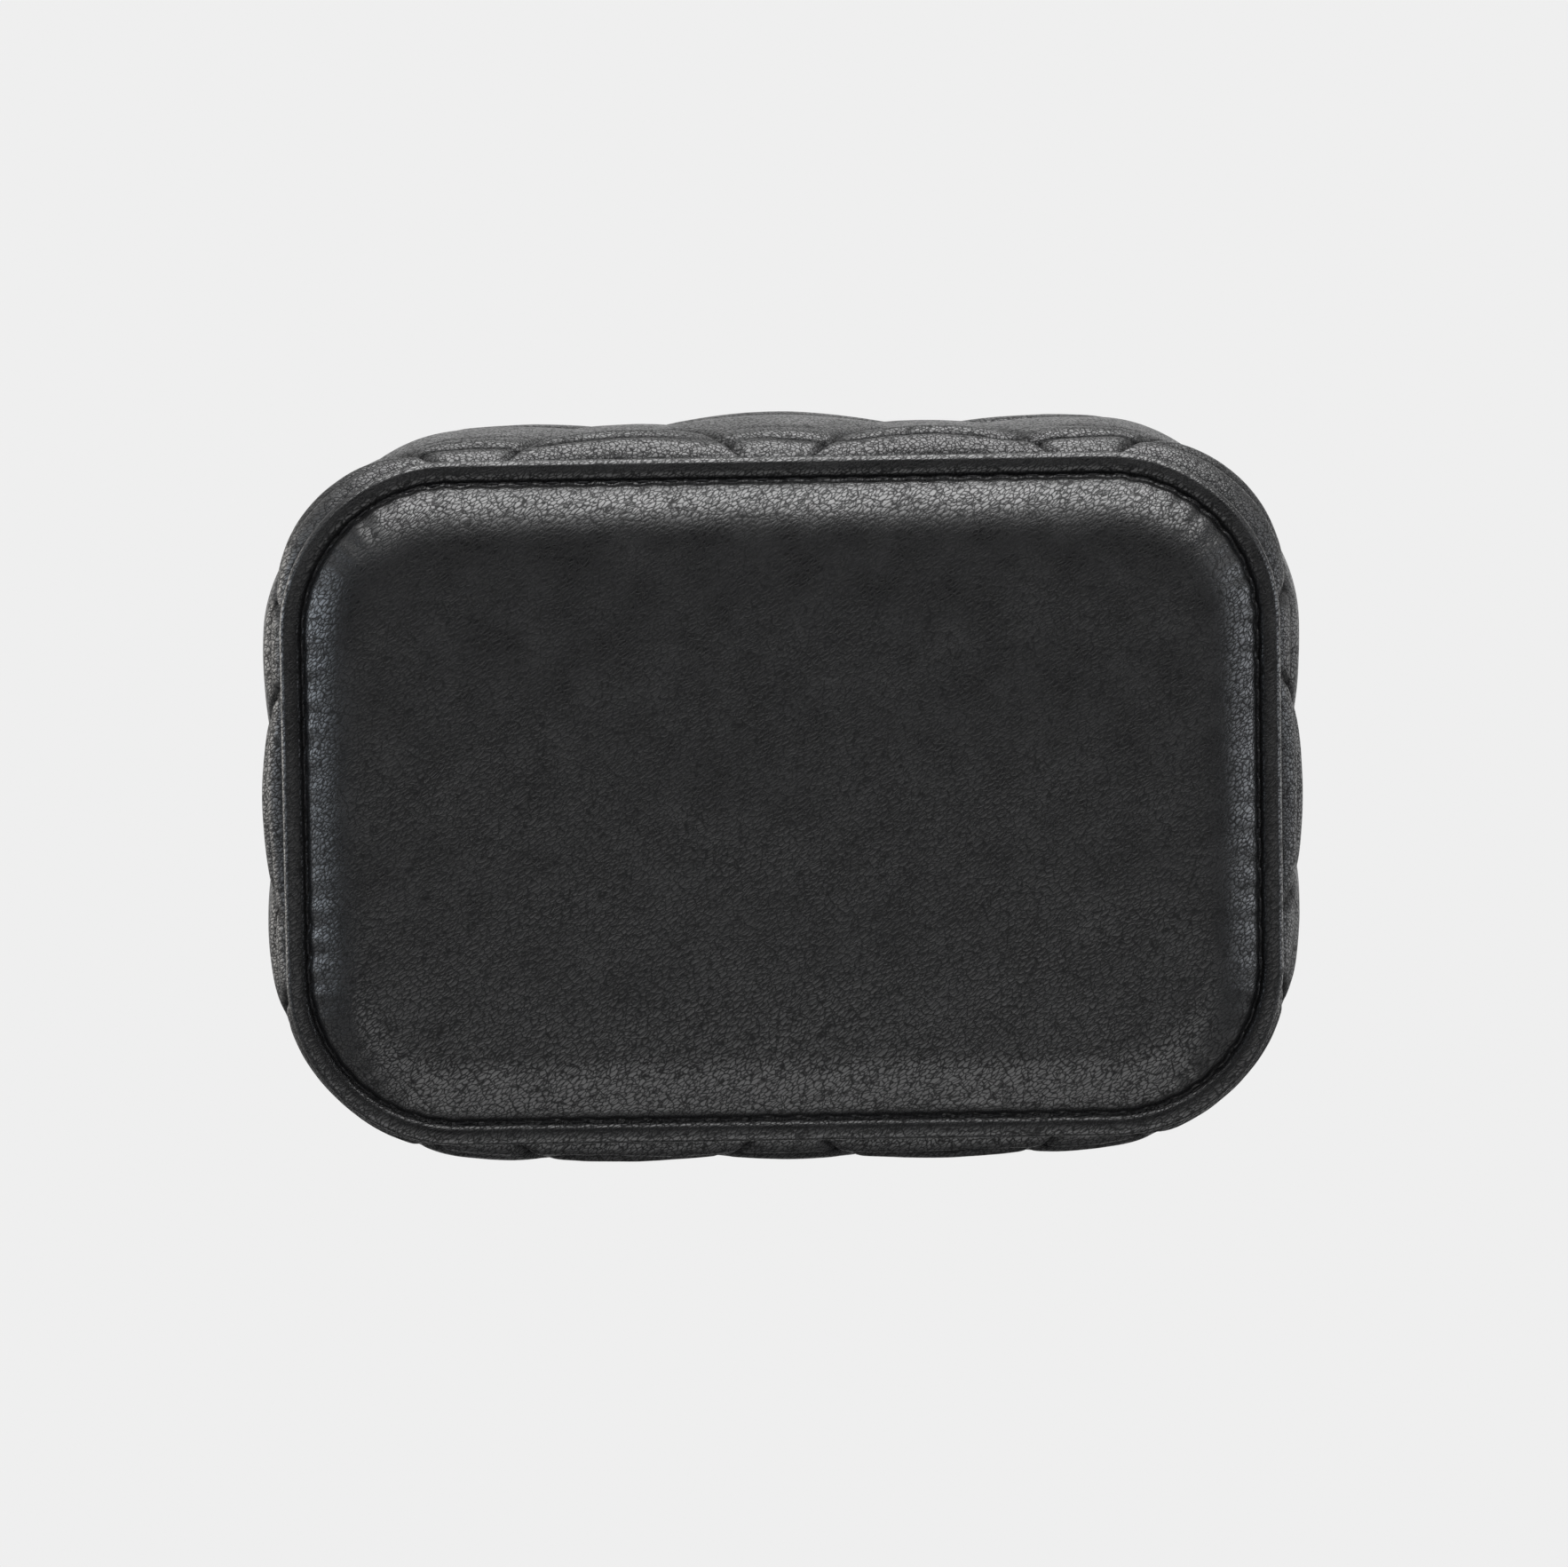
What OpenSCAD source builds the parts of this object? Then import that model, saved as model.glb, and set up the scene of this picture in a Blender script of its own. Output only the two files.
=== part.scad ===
// A small zip-round jewellery case: a rounded box of quilted leather over board, with a hinged lid,
// a smooth padded underside, suede lining, ring rolls, two compartments and a mirror in the lid.
// The case stands on its padded underside at z = 0, the front faces -Y and the lid hinges at the back.

/* [Case outline] */
// Width of the stitched rims, left to right
case_w = 110; // [90:1:150]
// Depth of the stitched rims, front to back
case_d = 75.5; // [66:0.5:110]
// Corner radius of the rims
corner_r = 19; // [14:0.5:26]

/* [Heights] */
// How far the underside's padding stands below its rim
base_pad_h = 2.4; // [1.6:0.1:4]
// Height of the quilted wall of the body
body_wall_h = 33; // [24:0.5:50]
// Height of each plain leather band beside the zip
facing_h = 5.5; // [4:0.25:9]
// Height of the gap that the zip closes
zip_gap = 7; // [6.6:0.1:9]
// Height of the quilted wall of the lid
lid_wall_h = 12.5; // [8:0.5:24]
// How far the lid's padding stands above its rim
lid_pad_h = 2.4; // [1.6:0.1:4]

/* [Leather and board] */
// Thickness of the leather rim of the underside and of the lid's top
rim_t = 1.6; // [1:0.1:2.4]
// Thickness of the welt between a rim and its quilted wall
welt_t = 1.2; // [0.8:0.1:2]
// Width of the flat rim, from its edge to the stitch line
rim_w = 2.5; // [2:0.1:5]
// Thickness of the leather over the padding
skin_t = 1.1; // [0.8:0.1:1.6]
// Width of the padding's rounded flank
flank_w = 7; // [4:0.25:9]
// Thickness of the leather bands and of the hinge panel
band_t = 0.95; // [0.7:0.05:1.4]
// Thickness of the wall boards
board_t = 1.5; // [1:0.1:2.4]
// Thickness of the base and lid boards
plate_t = 1.6; // [1:0.1:2.4]
// Depth of leather and padding in front of the wall boards
pad_t = 2; // [1.4:0.1:3]
// Thickness of the suede lining
lining_t = 0.8; // [0.5:0.1:1.4]

/* [Quilting] */
// Number of diamonds once round the case
diamonds = 10; // [8:1:14]
// Height of one diamond
diamond_h = 40; // [28:0.5:52]
// How far the lowest row of crossings lies below the body's lower seam
crossing_drop = 4.2; // [0:0.2:8]
// How far the stitched lines stand out from the rim
swell = 1.4; // [0.4:0.1:2]
// How far a diamond's middle stands out from its stitched lines
puff = 1.8; // [0.6:0.1:2.4]
// How far a diamond on the lid's top stands above its stitched lines
lid_puff = 1.4; // [0.6:0.1:1.5]
// Extra bow of the long front wall
front_bow = 1.1; // [0:0.1:2]
// Extra bow of the long back wall
back_bow = 0.3; // [0:0.1:1]
// Extra swell of the back wall's stitched lines
back_swell = 0.7; // [0:0.1:1]
// Share by which the back wall's diamonds are flatter than the front's
back_flat = 0.45; // [0:0.05:0.6]
// Share by which the quilting is drawn in over the two rear corners
rear_tight = 0.6; // [0:0.05:0.7]
// Height over which the wall turns in to its seams
seam_roll = 4.5; // [3:0.25:6]

/* [Stitching] */
// Distance from stitch to stitch
stitch_pitch = 3.3; // [2.6:0.1:5]
// Length of the thread that shows in one stitch
stitch_len = 2.5; // [1.8:0.1:4]
// Thickness of the thread
thread_d = 0.5; // [0.3:0.05:0.8]

/* [Zip] */
// Distance from tooth to tooth in one row
tooth_pitch = 2.5; // [2:0.1:3.2]
// Length of a tooth along the tape
tooth_l = 1.4; // [1:0.1:1.9]
// Thickness of a tooth through the tape
tooth_t = 1.4; // [1.1:0.1:1.6]
// Gap between the two rows of teeth when the lid is down
row_gap = 0.7; // [0.6:0.05:1]
// Outer height of both rows together
chain_h = 4.4; // [4:0.1:5]
// Thickness of the woven tape
tape_t = 0.5; // [0.3:0.05:0.6]
// Length of the slider
slider_l = 7; // [6:0.25:8]
// Thickness of the slider's two plates
slider_plate_t = 0.6; // [0.5:0.05:0.8]
// Angle round the rear left corner at which the slider is parked
park_angle = 13; // [12.5:0.25:15]
// Length of the puller from its pivot
puller_l = 12; // [9:0.5:12.5]
// Width of the puller
puller_w = 3.4; // [3.2:0.1:3.8]
// Thickness of the puller
puller_t = 0.9; // [0.6:0.05:0.9]
// Angle by which the parked puller leans in to the wall
puller_lean = 12; // [10:0.5:12.5]

/* [Hinge] */
// Distance from the leather hinge panel's ends to the start of the round corners
hinge_end = 2.5; // [2:0.5:12]
// How far the suede strip inside the hinge stops short of the panel's ends
hinge_strip_end = 1.5; // [1:0.25:4]

/* [Inside] */
// Number of padded ring rolls
rolls = 5; // [3:1:6]
// Thickness of one ring roll
roll_d = 9; // [7:0.25:10]
// Height of the foam bed under the rolls
bed_h = 15; // [6:0.5:18]
// Thickness of the compartment walls
divider_t = 1.6; // [1.2:0.1:2.4]
// Height of the compartment walls above the lining
divider_h = 28; // [14:0.5:32]
// Width of the mirror glass
mirror_w = 68; // [40:1:72]
// Depth of the mirror glass
mirror_d = 38; // [24:1:42]
// Thickness of the mirror glass
mirror_t = 1.4; // [1:0.1:2]
// Width of the leather frame round the mirror
mirror_frame_w = 5; // [3.5:0.25:7]

/* [Hidden] */
$fn = 64;

black_leather = [0.05, 0.05, 0.055];
black_thread = [0.03, 0.03, 0.03];
grey_board = [0.45, 0.42, 0.38];
pale_foam = [0.75, 0.74, 0.7];
dark_suede = [0.16, 0.14, 0.14];
black_tape = [0.04, 0.04, 0.045];
gold_metal = [0.83, 0.66, 0.34];
mirror_silver = [0.8, 0.82, 0.84];

// Levels, from the floor up.
rim_z = base_pad_h;
welt_z = rim_z + rim_t;
body_z = welt_z + welt_t;
facing_z = body_z + body_wall_h;
zip_low_z = facing_z + facing_h;
zip_z = zip_low_z + zip_gap / 2;
zip_high_z = zip_low_z + zip_gap;
lid_z = zip_high_z + facing_h;
lid_welt_z = lid_z + lid_wall_h;
lid_rim_z = lid_welt_z + welt_t;
lid_top_z = lid_rim_z + rim_t;
floor_z = welt_z + plate_t;
ceiling_z = lid_rim_z - plate_t;
inner_floor_z = floor_z + lining_t;
inner_ceiling_z = ceiling_z - lining_t;

// Depths in from the rim's edge, as offsets of the outline: outward is positive.
board_out = -pad_t;
board_in = board_out - board_t;
lining_in = board_in - lining_t;
band_out = 0.9;
tape_out = band_out - band_t;
tape_in = tape_out - tape_t;
tape_mid = (tape_out + tape_in) / 2;
// Room that keeps a soft, many-sided cover clear of the round board behind it.
cover_gap = 0.15;
cover_in = board_out + cover_gap;
collar_end_gap = 0.2;

// How far a welt's edge lies in from the rim's.
welt_inset = 0.25;
// How far the stitches of a band lie from its edge along the zip.
facing_seam = 1.3;

// The outline's straight halves and quarter turns.
run_x = case_w / 2 - corner_r;
run_y = case_d / 2 - corner_r;
turn = PI * corner_r / 2;
girth = 4 * (run_x + run_y + turn);
diamond_w = girth / diamonds;

// The hinge panel and its strip, between the back's two round corners.
hinge_w = 2 * (run_x - hinge_end);
hinge_strip_w = hinge_w - 2 * hinge_strip_end;

// The room inside the lining, from the middle.
inner_x = case_w / 2 + lining_in;
inner_y = case_d / 2 + lining_in;
// Ring rolls: clearance round the row, end chamfers and how deep they lie in their bed.
roll_room = 0.4;
roll_chamfer = 1.2;
roll_sink = roll_d * 0.3;
divider_x = rolls * roll_d + 2 * roll_room - inner_x;

// Zip: how far its parts reach to each side, from the middle of the front.
zip_reach = girth / 2 - hinge_w / 2;
stop_l = 1.2;
stop_reach = zip_reach - stop_l;
teeth_reach = stop_reach - stop_l / 2 - tooth_l / 2;
row_h = (chain_h - row_gap) / 2;
tape_h = (zip_gap - chain_h) / 2 + facing_h - 1;

// Slider: clearances from the teeth and the tape, and its plates, lips and post.
tooth_room = 0.25;
tape_room = 0.15;
plate_out = tape_mid + tooth_t / 2 + tooth_room;
plate_in = tape_mid - tooth_t / 2 - tooth_room;
face_out = plate_out + slider_plate_t;
face_in = plate_in - slider_plate_t;
slider_lip = 0.45;
slider_h = chain_h + 2 * tooth_room + 2 * slider_lip;
slider_post_t = row_gap / 2;
slider_post_l = 2.4;
// The upper teeth and tape start just past the parked slider.
lead_angle = 90 + park_angle + (slider_l / 2 + 0.4) / corner_r * 180 / PI;
lead_s = -(girth / 2 - run_x - turn * (lead_angle - 90) / 90) + tooth_l / 2;

// The puller's pivot: pin, knuckle and the two lugs that hold the pin.
pin_r = 0.45;
pin_room = 0.05;
knuckle_r = 0.9;
pivot_out = face_out + 0.15 + knuckle_r;
lug_r = 0.75;
lug_t = 0.6;
lug_z = 1.5;
lug_room = 0.1;

// Mirror: the frame's lip over the glass and its lower face.
mirror_lip = 1.5;
mirror_frame_z = inner_ceiling_z - mirror_t - 0.9;

// The lid's quilted top: how high its stitched lines lie, the share of a diamond that slopes,
// and how far neighbouring diamonds run into each other.
lid_seam_h = lid_pad_h - lid_puff;
diamond_slope = 0.54;
diamond_lap = 0.15;

// Columns and rows of the quilted skins: ten steps across a diamond, in both directions.
steps = 10;
columns = diamonds * steps;

// Where the front's right half, its turn, the right side and so on round the case come to an end.
ends = [run_x, run_x + turn, run_x + turn + 2 * run_y, run_x + 2 * turn + 2 * run_y,
    3 * run_x + 2 * turn + 2 * run_y, 3 * run_x + 3 * turn + 2 * run_y,
    3 * run_x + 3 * turn + 4 * run_y, 3 * run_x + 4 * turn + 4 * run_y];
// A point of the outline, s along it from the middle of the front towards +X: [x, y, angle out].
function on_outline(s) = let (t = s - girth * floor(s / girth))
    t < ends[0] ? [t, -case_d / 2, -90]
    : t < ends[1] ? on_turn(run_x, -run_y, -90, t - ends[0])
    : t < ends[2] ? [case_w / 2, t - ends[1] - run_y, 0]
    : t < ends[3] ? on_turn(run_x, run_y, 0, t - ends[2])
    : t < ends[4] ? [run_x + ends[3] - t, case_d / 2, 90]
    : t < ends[5] ? on_turn(-run_x, run_y, 90, t - ends[4])
    : t < ends[6] ? [-case_w / 2, run_y + ends[5] - t, 180]
    : t < ends[7] ? on_turn(-run_x, -run_y, 180, t - ends[6])
    : [t - girth, -case_d / 2, 270];
function on_turn(cx, cy, start, t) = let (a = start + 90 * t / turn)
    [cx + corner_r * cos(a), cy + corner_r * sin(a), a];
function outset(p, out, z) = [p[0] + out * cos(p[2]), p[1] + out * sin(p[2]), z];

// The quilting: 0 on the stitched lines and 1 in the middle of a diamond.
function pillow(a, b) = sqrt(abs(sin(180 * a) * sin(180 * b)));
function wall_pillow(s, u) = let (v = (u + crossing_drop) / diamond_h, w = s / diamond_w)
    pillow(w - v, w + v);
// The wall's turn to its seams: 0 at a seam and 1 once it is clear of it.
function roll(edge) = edge >= seam_roll ? 1 : sqrt(1 - pow(1 - max(edge, 0) / seam_roll, 2));
// Distance along the outline from the middle of the front, and from the middle of the back.
function from_front(s) = abs(s - girth * round(s / girth));
function from_back(s) = girth / 2 - from_front(s);
// A smooth hump over a distance: 1 at 0, and 0 from its reach on.
function hump(d, reach) = abs(d) < reach ? pow(cos(90 * d / reach), 2) : 0;
// The two ends of the case lie halfway round its corners.
wall_reach = run_x + turn / 2;
function bow(s) = front_bow * hump(from_front(s), wall_reach) + back_bow * hump(from_back(s), wall_reach);
// The share of the back's own quilting: 1 along the back, dying out over the rear corners.
function back_share(s) = hump(max(from_back(s) - wall_reach / 2, 0), wall_reach / 2);
seam_tuck = 0.8;
// How far the quilted wall stands out at s, at u above the body's lower seam, for a wall from u0 to u1.
function wall_out(s, u, u0, u1) = let (r = roll(min(u - u0, u1 - u)), back = back_share(s),
    ease = 1 - rear_tight * hump(from_back(s) - wall_reach, turn))
    (r - 1) * seam_tuck + r * ease * (swell + back * back_swell + bow(s) * sin(180 * (u - u0) / (u1 - u0))
        + puff * (1 - back * back_flat) * wall_pillow(s, u));

// Levels of a quilted wall: its two seams, and each tenth of a diamond between them.
function wall_rows(u0, u1) = let (first = ceil((u0 + 1 + crossing_drop) * steps / diamond_h),
    last = floor((u1 - 1 + crossing_drop) * steps / diamond_h))
    [u0, for (k = [first:last]) k * diamond_h / steps - crossing_drop, u1];

// A skin over rings of equal length that closes on itself, each ring one level of the shape.
// A square splits along its lower diagonal, so that a stitched line is a clean valley.
module skin(rings, heights) {
    n = len(rings[0]);
    m = len(rings);
    function high(j, i) = j < len(heights) ? heights[j][i] : 0;
    function square_faces(j, i) = let (k = (j + 1) % m, e = (i + 1) % n,
        a = j * n + i, b = j * n + e, c = k * n + e, d = k * n + i)
        high(j, i) + high(k, e) <= high(j, e) + high(k, i) ? [[a, d, c], [a, c, b]] : [[a, d, b], [b, d, c]];
    polyhedron(points = [for (r = rings) each r], convexity = 8,
        faces = [for (j = [0:m - 1], i = [0:n - 1]) each square_faces(j, i)]);
}

function ring(out, z) = [for (i = [0:columns - 1]) outset(on_outline(i * girth / columns), out, z)];

// A quilted wall that stands at level z, cut from the pattern between u0 and u1.
module quilted_wall(z, u0, u1) {
    rows = wall_rows(u0, u1);
    heights = [for (u = rows) [for (i = [0:columns - 1]) wall_out(i * girth / columns, u, u0, u1)]];
    outer = [for (j = [0:len(rows) - 1]) [for (i = [0:columns - 1])
        outset(on_outline(i * girth / columns), heights[j][i], z + rows[j] - u0)]];
    skin(concat(outer, [ring(cover_in, z + u1 - u0), ring(cover_in, z)]), heights);
}

// The outline grown or shrunk by out, with true round corners.
module outline(out) {
    square([2 * run_x, case_d + 2 * out], center = true);
    square([case_w + 2 * out, 2 * run_y], center = true);
    for (x = [-1, 1], y = [-1, 1]) translate([x * run_x, y * run_y]) circle(corner_r + out);
}

module plate(z, h, out) {
    translate([0, 0, z]) linear_extrude(h) outline(out);
}

module band(z, h, out, inner) {
    translate([0, 0, z]) linear_extrude(h) difference() {
        outline(out);
        outline(inner);
    }
}

// What lies over the back, between -w/2 and w/2.
module back_zone(w) {
    translate([-w / 2, case_d / 2 - corner_r / 2, 0]) cube([w, corner_r, lid_top_z]);
}

// The padding's outer shape: how deep it stands at a distance in from the stitch line.
function pad_depth(inward, pad_h) = let (r = (flank_w * flank_w + pad_h * pad_h) / (2 * pad_h))
    sqrt(r * r - pow(flank_w - inward, 2)) - r + pad_h;

flank_steps = 6;
groove = 0.3;
edge_round = 0.5;

// Sweeps a cross-section round the outline. Its x is measured outwards from the corners' centres.
module round_the_outline() {
    for (k = [0:3]) let (x = k == 0 || k == 3 ? run_x : -run_x, y = k < 2 ? run_y : -run_y)
        translate([x, y, 0]) rotate([0, 0, 90 * k]) rotate_extrude(angle = 90) children();
    for (k = [0:3]) let (away = k % 2 == 0 ? run_x : run_y, along = k % 2 == 0 ? run_y : run_x)
        rotate([0, 0, 90 * k]) translate([away, along, 0]) rotate([90, 0, 0])
            linear_extrude(2 * along) children();
}

// The flank's points from the flat middle to the stitch line, moved in and up.
function flank_points(inset, lift, pad_h) = [for (k = [flank_steps:-1:0])
    let (inward = flank_w * k / flank_steps)
    [corner_r - rim_w - inset - inward, lift - pad_depth(inward, pad_h)]];

// A padded cover with its flat rim's outer face at z = 0 and its padding below that. It is open above.
module padded_cover(pad_h) {
    hollow = flank_points(skin_t, skin_t, pad_h);
    rim = [[corner_r - rim_w, groove], [corner_r - rim_w + 2 * groove, 0], [corner_r - edge_round, 0],
        [corner_r, edge_round], [corner_r, rim_t - edge_round], [corner_r - edge_round, rim_t],
        [corner_r - rim_w - skin_t, rim_t]];
    round_the_outline() polygon(concat([[hollow[0][0], -pad_h]], flank_points(groove, 0, pad_h), rim,
        [for (k = [flank_steps:-1:0]) hollow[k]]));
    translate([0, 0, -pad_h]) linear_extrude(skin_t) outline(hollow[0][0] - corner_r);
}

// The foam that fills a padded cover.
module cover_foam(pad_h) {
    bowl = flank_points(skin_t, skin_t, pad_h);
    round_the_outline() polygon(concat(bowl, [[bowl[flank_steps][0], rim_t], [bowl[0][0], rim_t]]));
    translate([0, 0, skin_t - pad_h]) linear_extrude(rim_t - skin_t + pad_h) outline(bowl[0][0] - corner_r);
}

// A row of stitches along the outline, from one place round the case to another.
module stitches(out, z, from = 0, to = girth) {
    count = round((to - from) / stitch_pitch);
    for (i = [0:count - 1]) let (p = on_outline(from + (i + 0.5) * (to - from) / count))
        translate(outset(p, out, z)) rotate([0, 0, p[2]]) rotate([90, 0, 0])
            cylinder(h = stitch_len, d = thread_d, center = true, $fn = 16);
}

// ---- the underside ----

module base_cover() {
    color(black_leather) translate([0, 0, rim_z]) padded_cover(base_pad_h);
}

module base_foam() {
    color(pale_foam) translate([0, 0, rim_z]) cover_foam(base_pad_h);
}

module base_board() {
    color(grey_board) plate(welt_z, plate_t, board_in);
}

module base_welt() {
    color(black_leather) band(welt_z, welt_t, -welt_inset, board_in);
}

module base_stitching() {
    color(black_thread) stitches(-rim_w, rim_z + groove / 2);
}

// ---- the body's wall ----

module body_wall_board() {
    color(grey_board) band(body_z, zip_low_z - body_z, board_out, board_in);
}

module body_quilted_wall() {
    color(black_leather) quilted_wall(body_z, 0, body_wall_h);
}

module body_collar() {
    color(black_leather) band(facing_z + collar_end_gap, facing_h - collar_end_gap, tape_in, board_out);
}

module body_zip_facing() {
    color(black_leather) difference() {
        band(facing_z, facing_h, band_out, tape_out);
        back_zone(hinge_w);
    }
}

module body_facing_stitching() {
    color(black_thread) stitches(band_out, zip_low_z - facing_seam, -zip_reach, zip_reach);
}

module body_lining() {
    color(dark_suede) difference() {
        plate(floor_z, zip_low_z - floor_z, board_in);
        plate(inner_floor_z, zip_low_z, lining_in);
    }
}

// ---- what the body holds ----

module ring_bed() {
    color(pale_foam) translate([0, 0, inner_floor_z]) linear_extrude(bed_h) intersection() {
        outline(lining_in);
        translate([-inner_x, -inner_y]) square([divider_x + inner_x, 2 * inner_y]);
    }
}

// One roll, lying along Y, with chamfered ends and a flat where it lies on its bed.
module ring_roll(half_l) {
    r = roll_d / 2;
    intersection() {
        rotate([90, 0, 0]) rotate_extrude() polygon([[0, -half_l], [r - roll_chamfer, -half_l],
            [r, roll_chamfer - half_l], [r, half_l - roll_chamfer], [r - roll_chamfer, half_l], [0, half_l]]);
        translate([-roll_d, -2 * half_l, -roll_sink]) cube([2 * roll_d, 4 * half_l, roll_d]);
    }
}

// Half the room front to back at a distance from the middle, clear of the lining's round corners.
function half_room(x) = let (r = corner_r + lining_in - roll_room)
    x <= run_x ? run_y + r : run_y + sqrt(r * r - pow(x - run_x, 2));

module ring_rolls() {
    color(dark_suede) for (i = [0:rolls - 1]) let (x = inner_x - roll_room - (i + 0.5) * roll_d)
        translate([-x, 0, inner_floor_z + bed_h + roll_sink])
            ring_roll(half_room(x + roll_d / 2 - roll_room));
}

module divider_long() {
    color(dark_suede) translate([divider_x, -inner_y, inner_floor_z])
        cube([divider_t, 2 * inner_y, divider_h]);
}

module divider_cross() {
    color(dark_suede) translate([divider_x + divider_t, -divider_t / 2, inner_floor_z])
        cube([inner_x - divider_x - divider_t, divider_t, divider_h]);
}

// ---- the zip ----

module tape(z, h) {
    difference() {
        band(z, h, tape_out, tape_in);
        back_zone(hinge_strip_w);
    }
}

// One row of teeth, from one place round the case to another. The two rows are half a tooth apart.
module teeth(z, shift, from, to) {
    for (k = [ceil(from / tooth_pitch - shift):floor(to / tooth_pitch - shift)])
        let (p = on_outline((k + shift) * tooth_pitch))
            translate(outset(p, tape_mid, z)) rotate([0, 0, p[2]])
                translate([-tooth_t / 2, -tooth_l / 2, 0]) cube([tooth_t, tooth_l, row_h]);
}

module stop(s, z) {
    p = on_outline(s);
    translate(outset(p, tape_mid, z)) rotate([0, 0, p[2]])
        translate([-tooth_t / 2, -stop_l / 2, 0]) cube([tooth_t, stop_l, row_h + row_gap / 4]);
}

module zip_tape_lower() {
    color(black_tape) tape(zip_z - chain_h / 2 - tape_h, tape_h);
}

module zip_teeth_lower() {
    color(gold_metal) teeth(zip_z - chain_h / 2, 0, -teeth_reach, teeth_reach);
}

module zip_stops_lower() {
    color(gold_metal) for (s = [-stop_reach, stop_reach]) stop(s, zip_z - chain_h / 2);
}

// The stretch of the upper tape that runs from the hinge through the parked slider.
module tape_end_zone() {
    translate([-run_x, run_y, 0]) linear_extrude(lid_top_z) polygon([[0, 0],
        2 * corner_r * [cos(lead_angle), sin(lead_angle)], [0, 2 * corner_r],
        [run_x - hinge_strip_w / 2, 2 * corner_r], [run_x - hinge_strip_w / 2, 0]]);
}

module zip_tape_upper() {
    color(black_tape) difference() {
        tape(zip_z + chain_h / 2, tape_h);
        tape_end_zone();
    }
}

module zip_tape_end() {
    color(black_tape) intersection() {
        tape(zip_z + chain_h / 2, tape_h);
        tape_end_zone();
    }
}

module zip_teeth_upper() {
    color(gold_metal) teeth(zip_z + row_gap / 2, 0.5, lead_s, teeth_reach);
}

module zip_stops_upper() {
    color(gold_metal) translate([0, 0, -row_gap / 4]) stop(stop_reach, zip_z + row_gap / 2);
}

// Places a piece at the parked slider: +X out of the wall, +Y along the zip.
module at_slider() {
    translate([-run_x, run_y, zip_z]) rotate([0, 0, 90 + park_angle]) children();
}

// A piece of the slider that follows the corner: its cross-section swept over a length of the zip.
module along_zip(l) {
    angle = l / corner_r * 180 / PI;
    rotate([0, 0, -angle / 2]) rotate_extrude(angle = angle) children();
}

// Half of the slider's cross-section: a plate from one depth to another, with a lip at its top and its foot.
module slider_section(plate_from, plate_to, lip_from, lip_to) {
    translate([corner_r + plate_from, -slider_h / 2]) square([plate_to - plate_from, slider_h]);
    for (z = [-slider_h / 2, slider_h / 2 - slider_lip])
        translate([corner_r + lip_from, z]) square([lip_to - lip_from, slider_lip]);
}

module zip_slider() {
    color(gold_metal) at_slider() {
        along_zip(slider_l) slider_section(plate_out, face_out, tape_out + tape_room, plate_out);
        along_zip(slider_l) slider_section(face_in, plate_in, plate_in, tape_in - tape_room);
        along_zip(slider_post_l) translate([corner_r + (face_in + plate_in) / 2, -slider_post_t / 2])
            square([plate_out - plate_in + slider_plate_t, slider_post_t]);
        for (z = [-lug_z - lug_t, lug_z]) translate([0, 0, z]) {
            translate([corner_r + plate_out + slider_plate_t / 2, -lug_r, 0])
                cube([pivot_out - plate_out - slider_plate_t / 2, 2 * lug_r, lug_t]);
            translate([corner_r + pivot_out, 0, 0]) cylinder(h = lug_t, r = lug_r);
        }
        translate([corner_r + pivot_out, 0, -lug_z - lug_t])
            cylinder(h = 2 * (lug_z + lug_t), r = pin_r);
    }
}

// The puller's flat shape, from its pivot along +X.
module puller_shape() {
    neck_w = 2 * (lug_z - 2 * lug_room);
    translate([0, -neck_w / 2]) square([2 * lug_r + knuckle_r, neck_w]);
    translate([2 * lug_r, -puller_w / 2]) square([puller_l - 2 * lug_r - puller_w / 2, puller_w]);
    translate([puller_l - puller_w / 2, 0]) circle(puller_w / 2);
}

module zip_puller() {
    color(gold_metal) at_slider() translate([corner_r + pivot_out, 0, 0]) difference() {
        union() {
            cylinder(h = 2 * (lug_z - lug_room), r = knuckle_r, center = true);
            rotate([0, 0, -90 - puller_lean]) rotate([90, 0, 0])
                linear_extrude(puller_t, center = true) puller_shape();
        }
        cylinder(h = roll_d, r = pin_r + pin_room, center = true);
        rotate([0, 0, -90 - puller_lean]) translate([puller_l - puller_w / 2, 0, 0]) rotate([90, 0, 0])
            cylinder(h = roll_d, d = puller_w / 2, center = true);
    }
}

// ---- the hinge ----

module hinge_panel() {
    color(black_leather) translate([-hinge_w / 2, case_d / 2 + tape_out, facing_z])
        cube([hinge_w, band_t, lid_z - facing_z]);
}

module hinge_strip() {
    color(dark_suede) translate([-hinge_strip_w / 2, case_d / 2 + tape_in, facing_z + collar_end_gap])
        cube([hinge_strip_w, tape_t, lid_z - facing_z - 2 * collar_end_gap]);
}

// ---- the lid ----

// The room under a padded cover's outer face, down to a flat bottom at z.
module crown_room(pad_h, z) {
    flank = flank_points(groove, 0, pad_h);
    round_the_outline() polygon(concat(flank, [[flank[flank_steps][0], z], [flank[0][0], z]]));
    translate([0, 0, -pad_h]) linear_extrude(pad_h + z) outline(flank[0][0] - corner_r);
}

function diamond_corners(r, z) = [[r, 0, z], [0, r, z], [-r, 0, z], [0, -r, z]];

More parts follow.
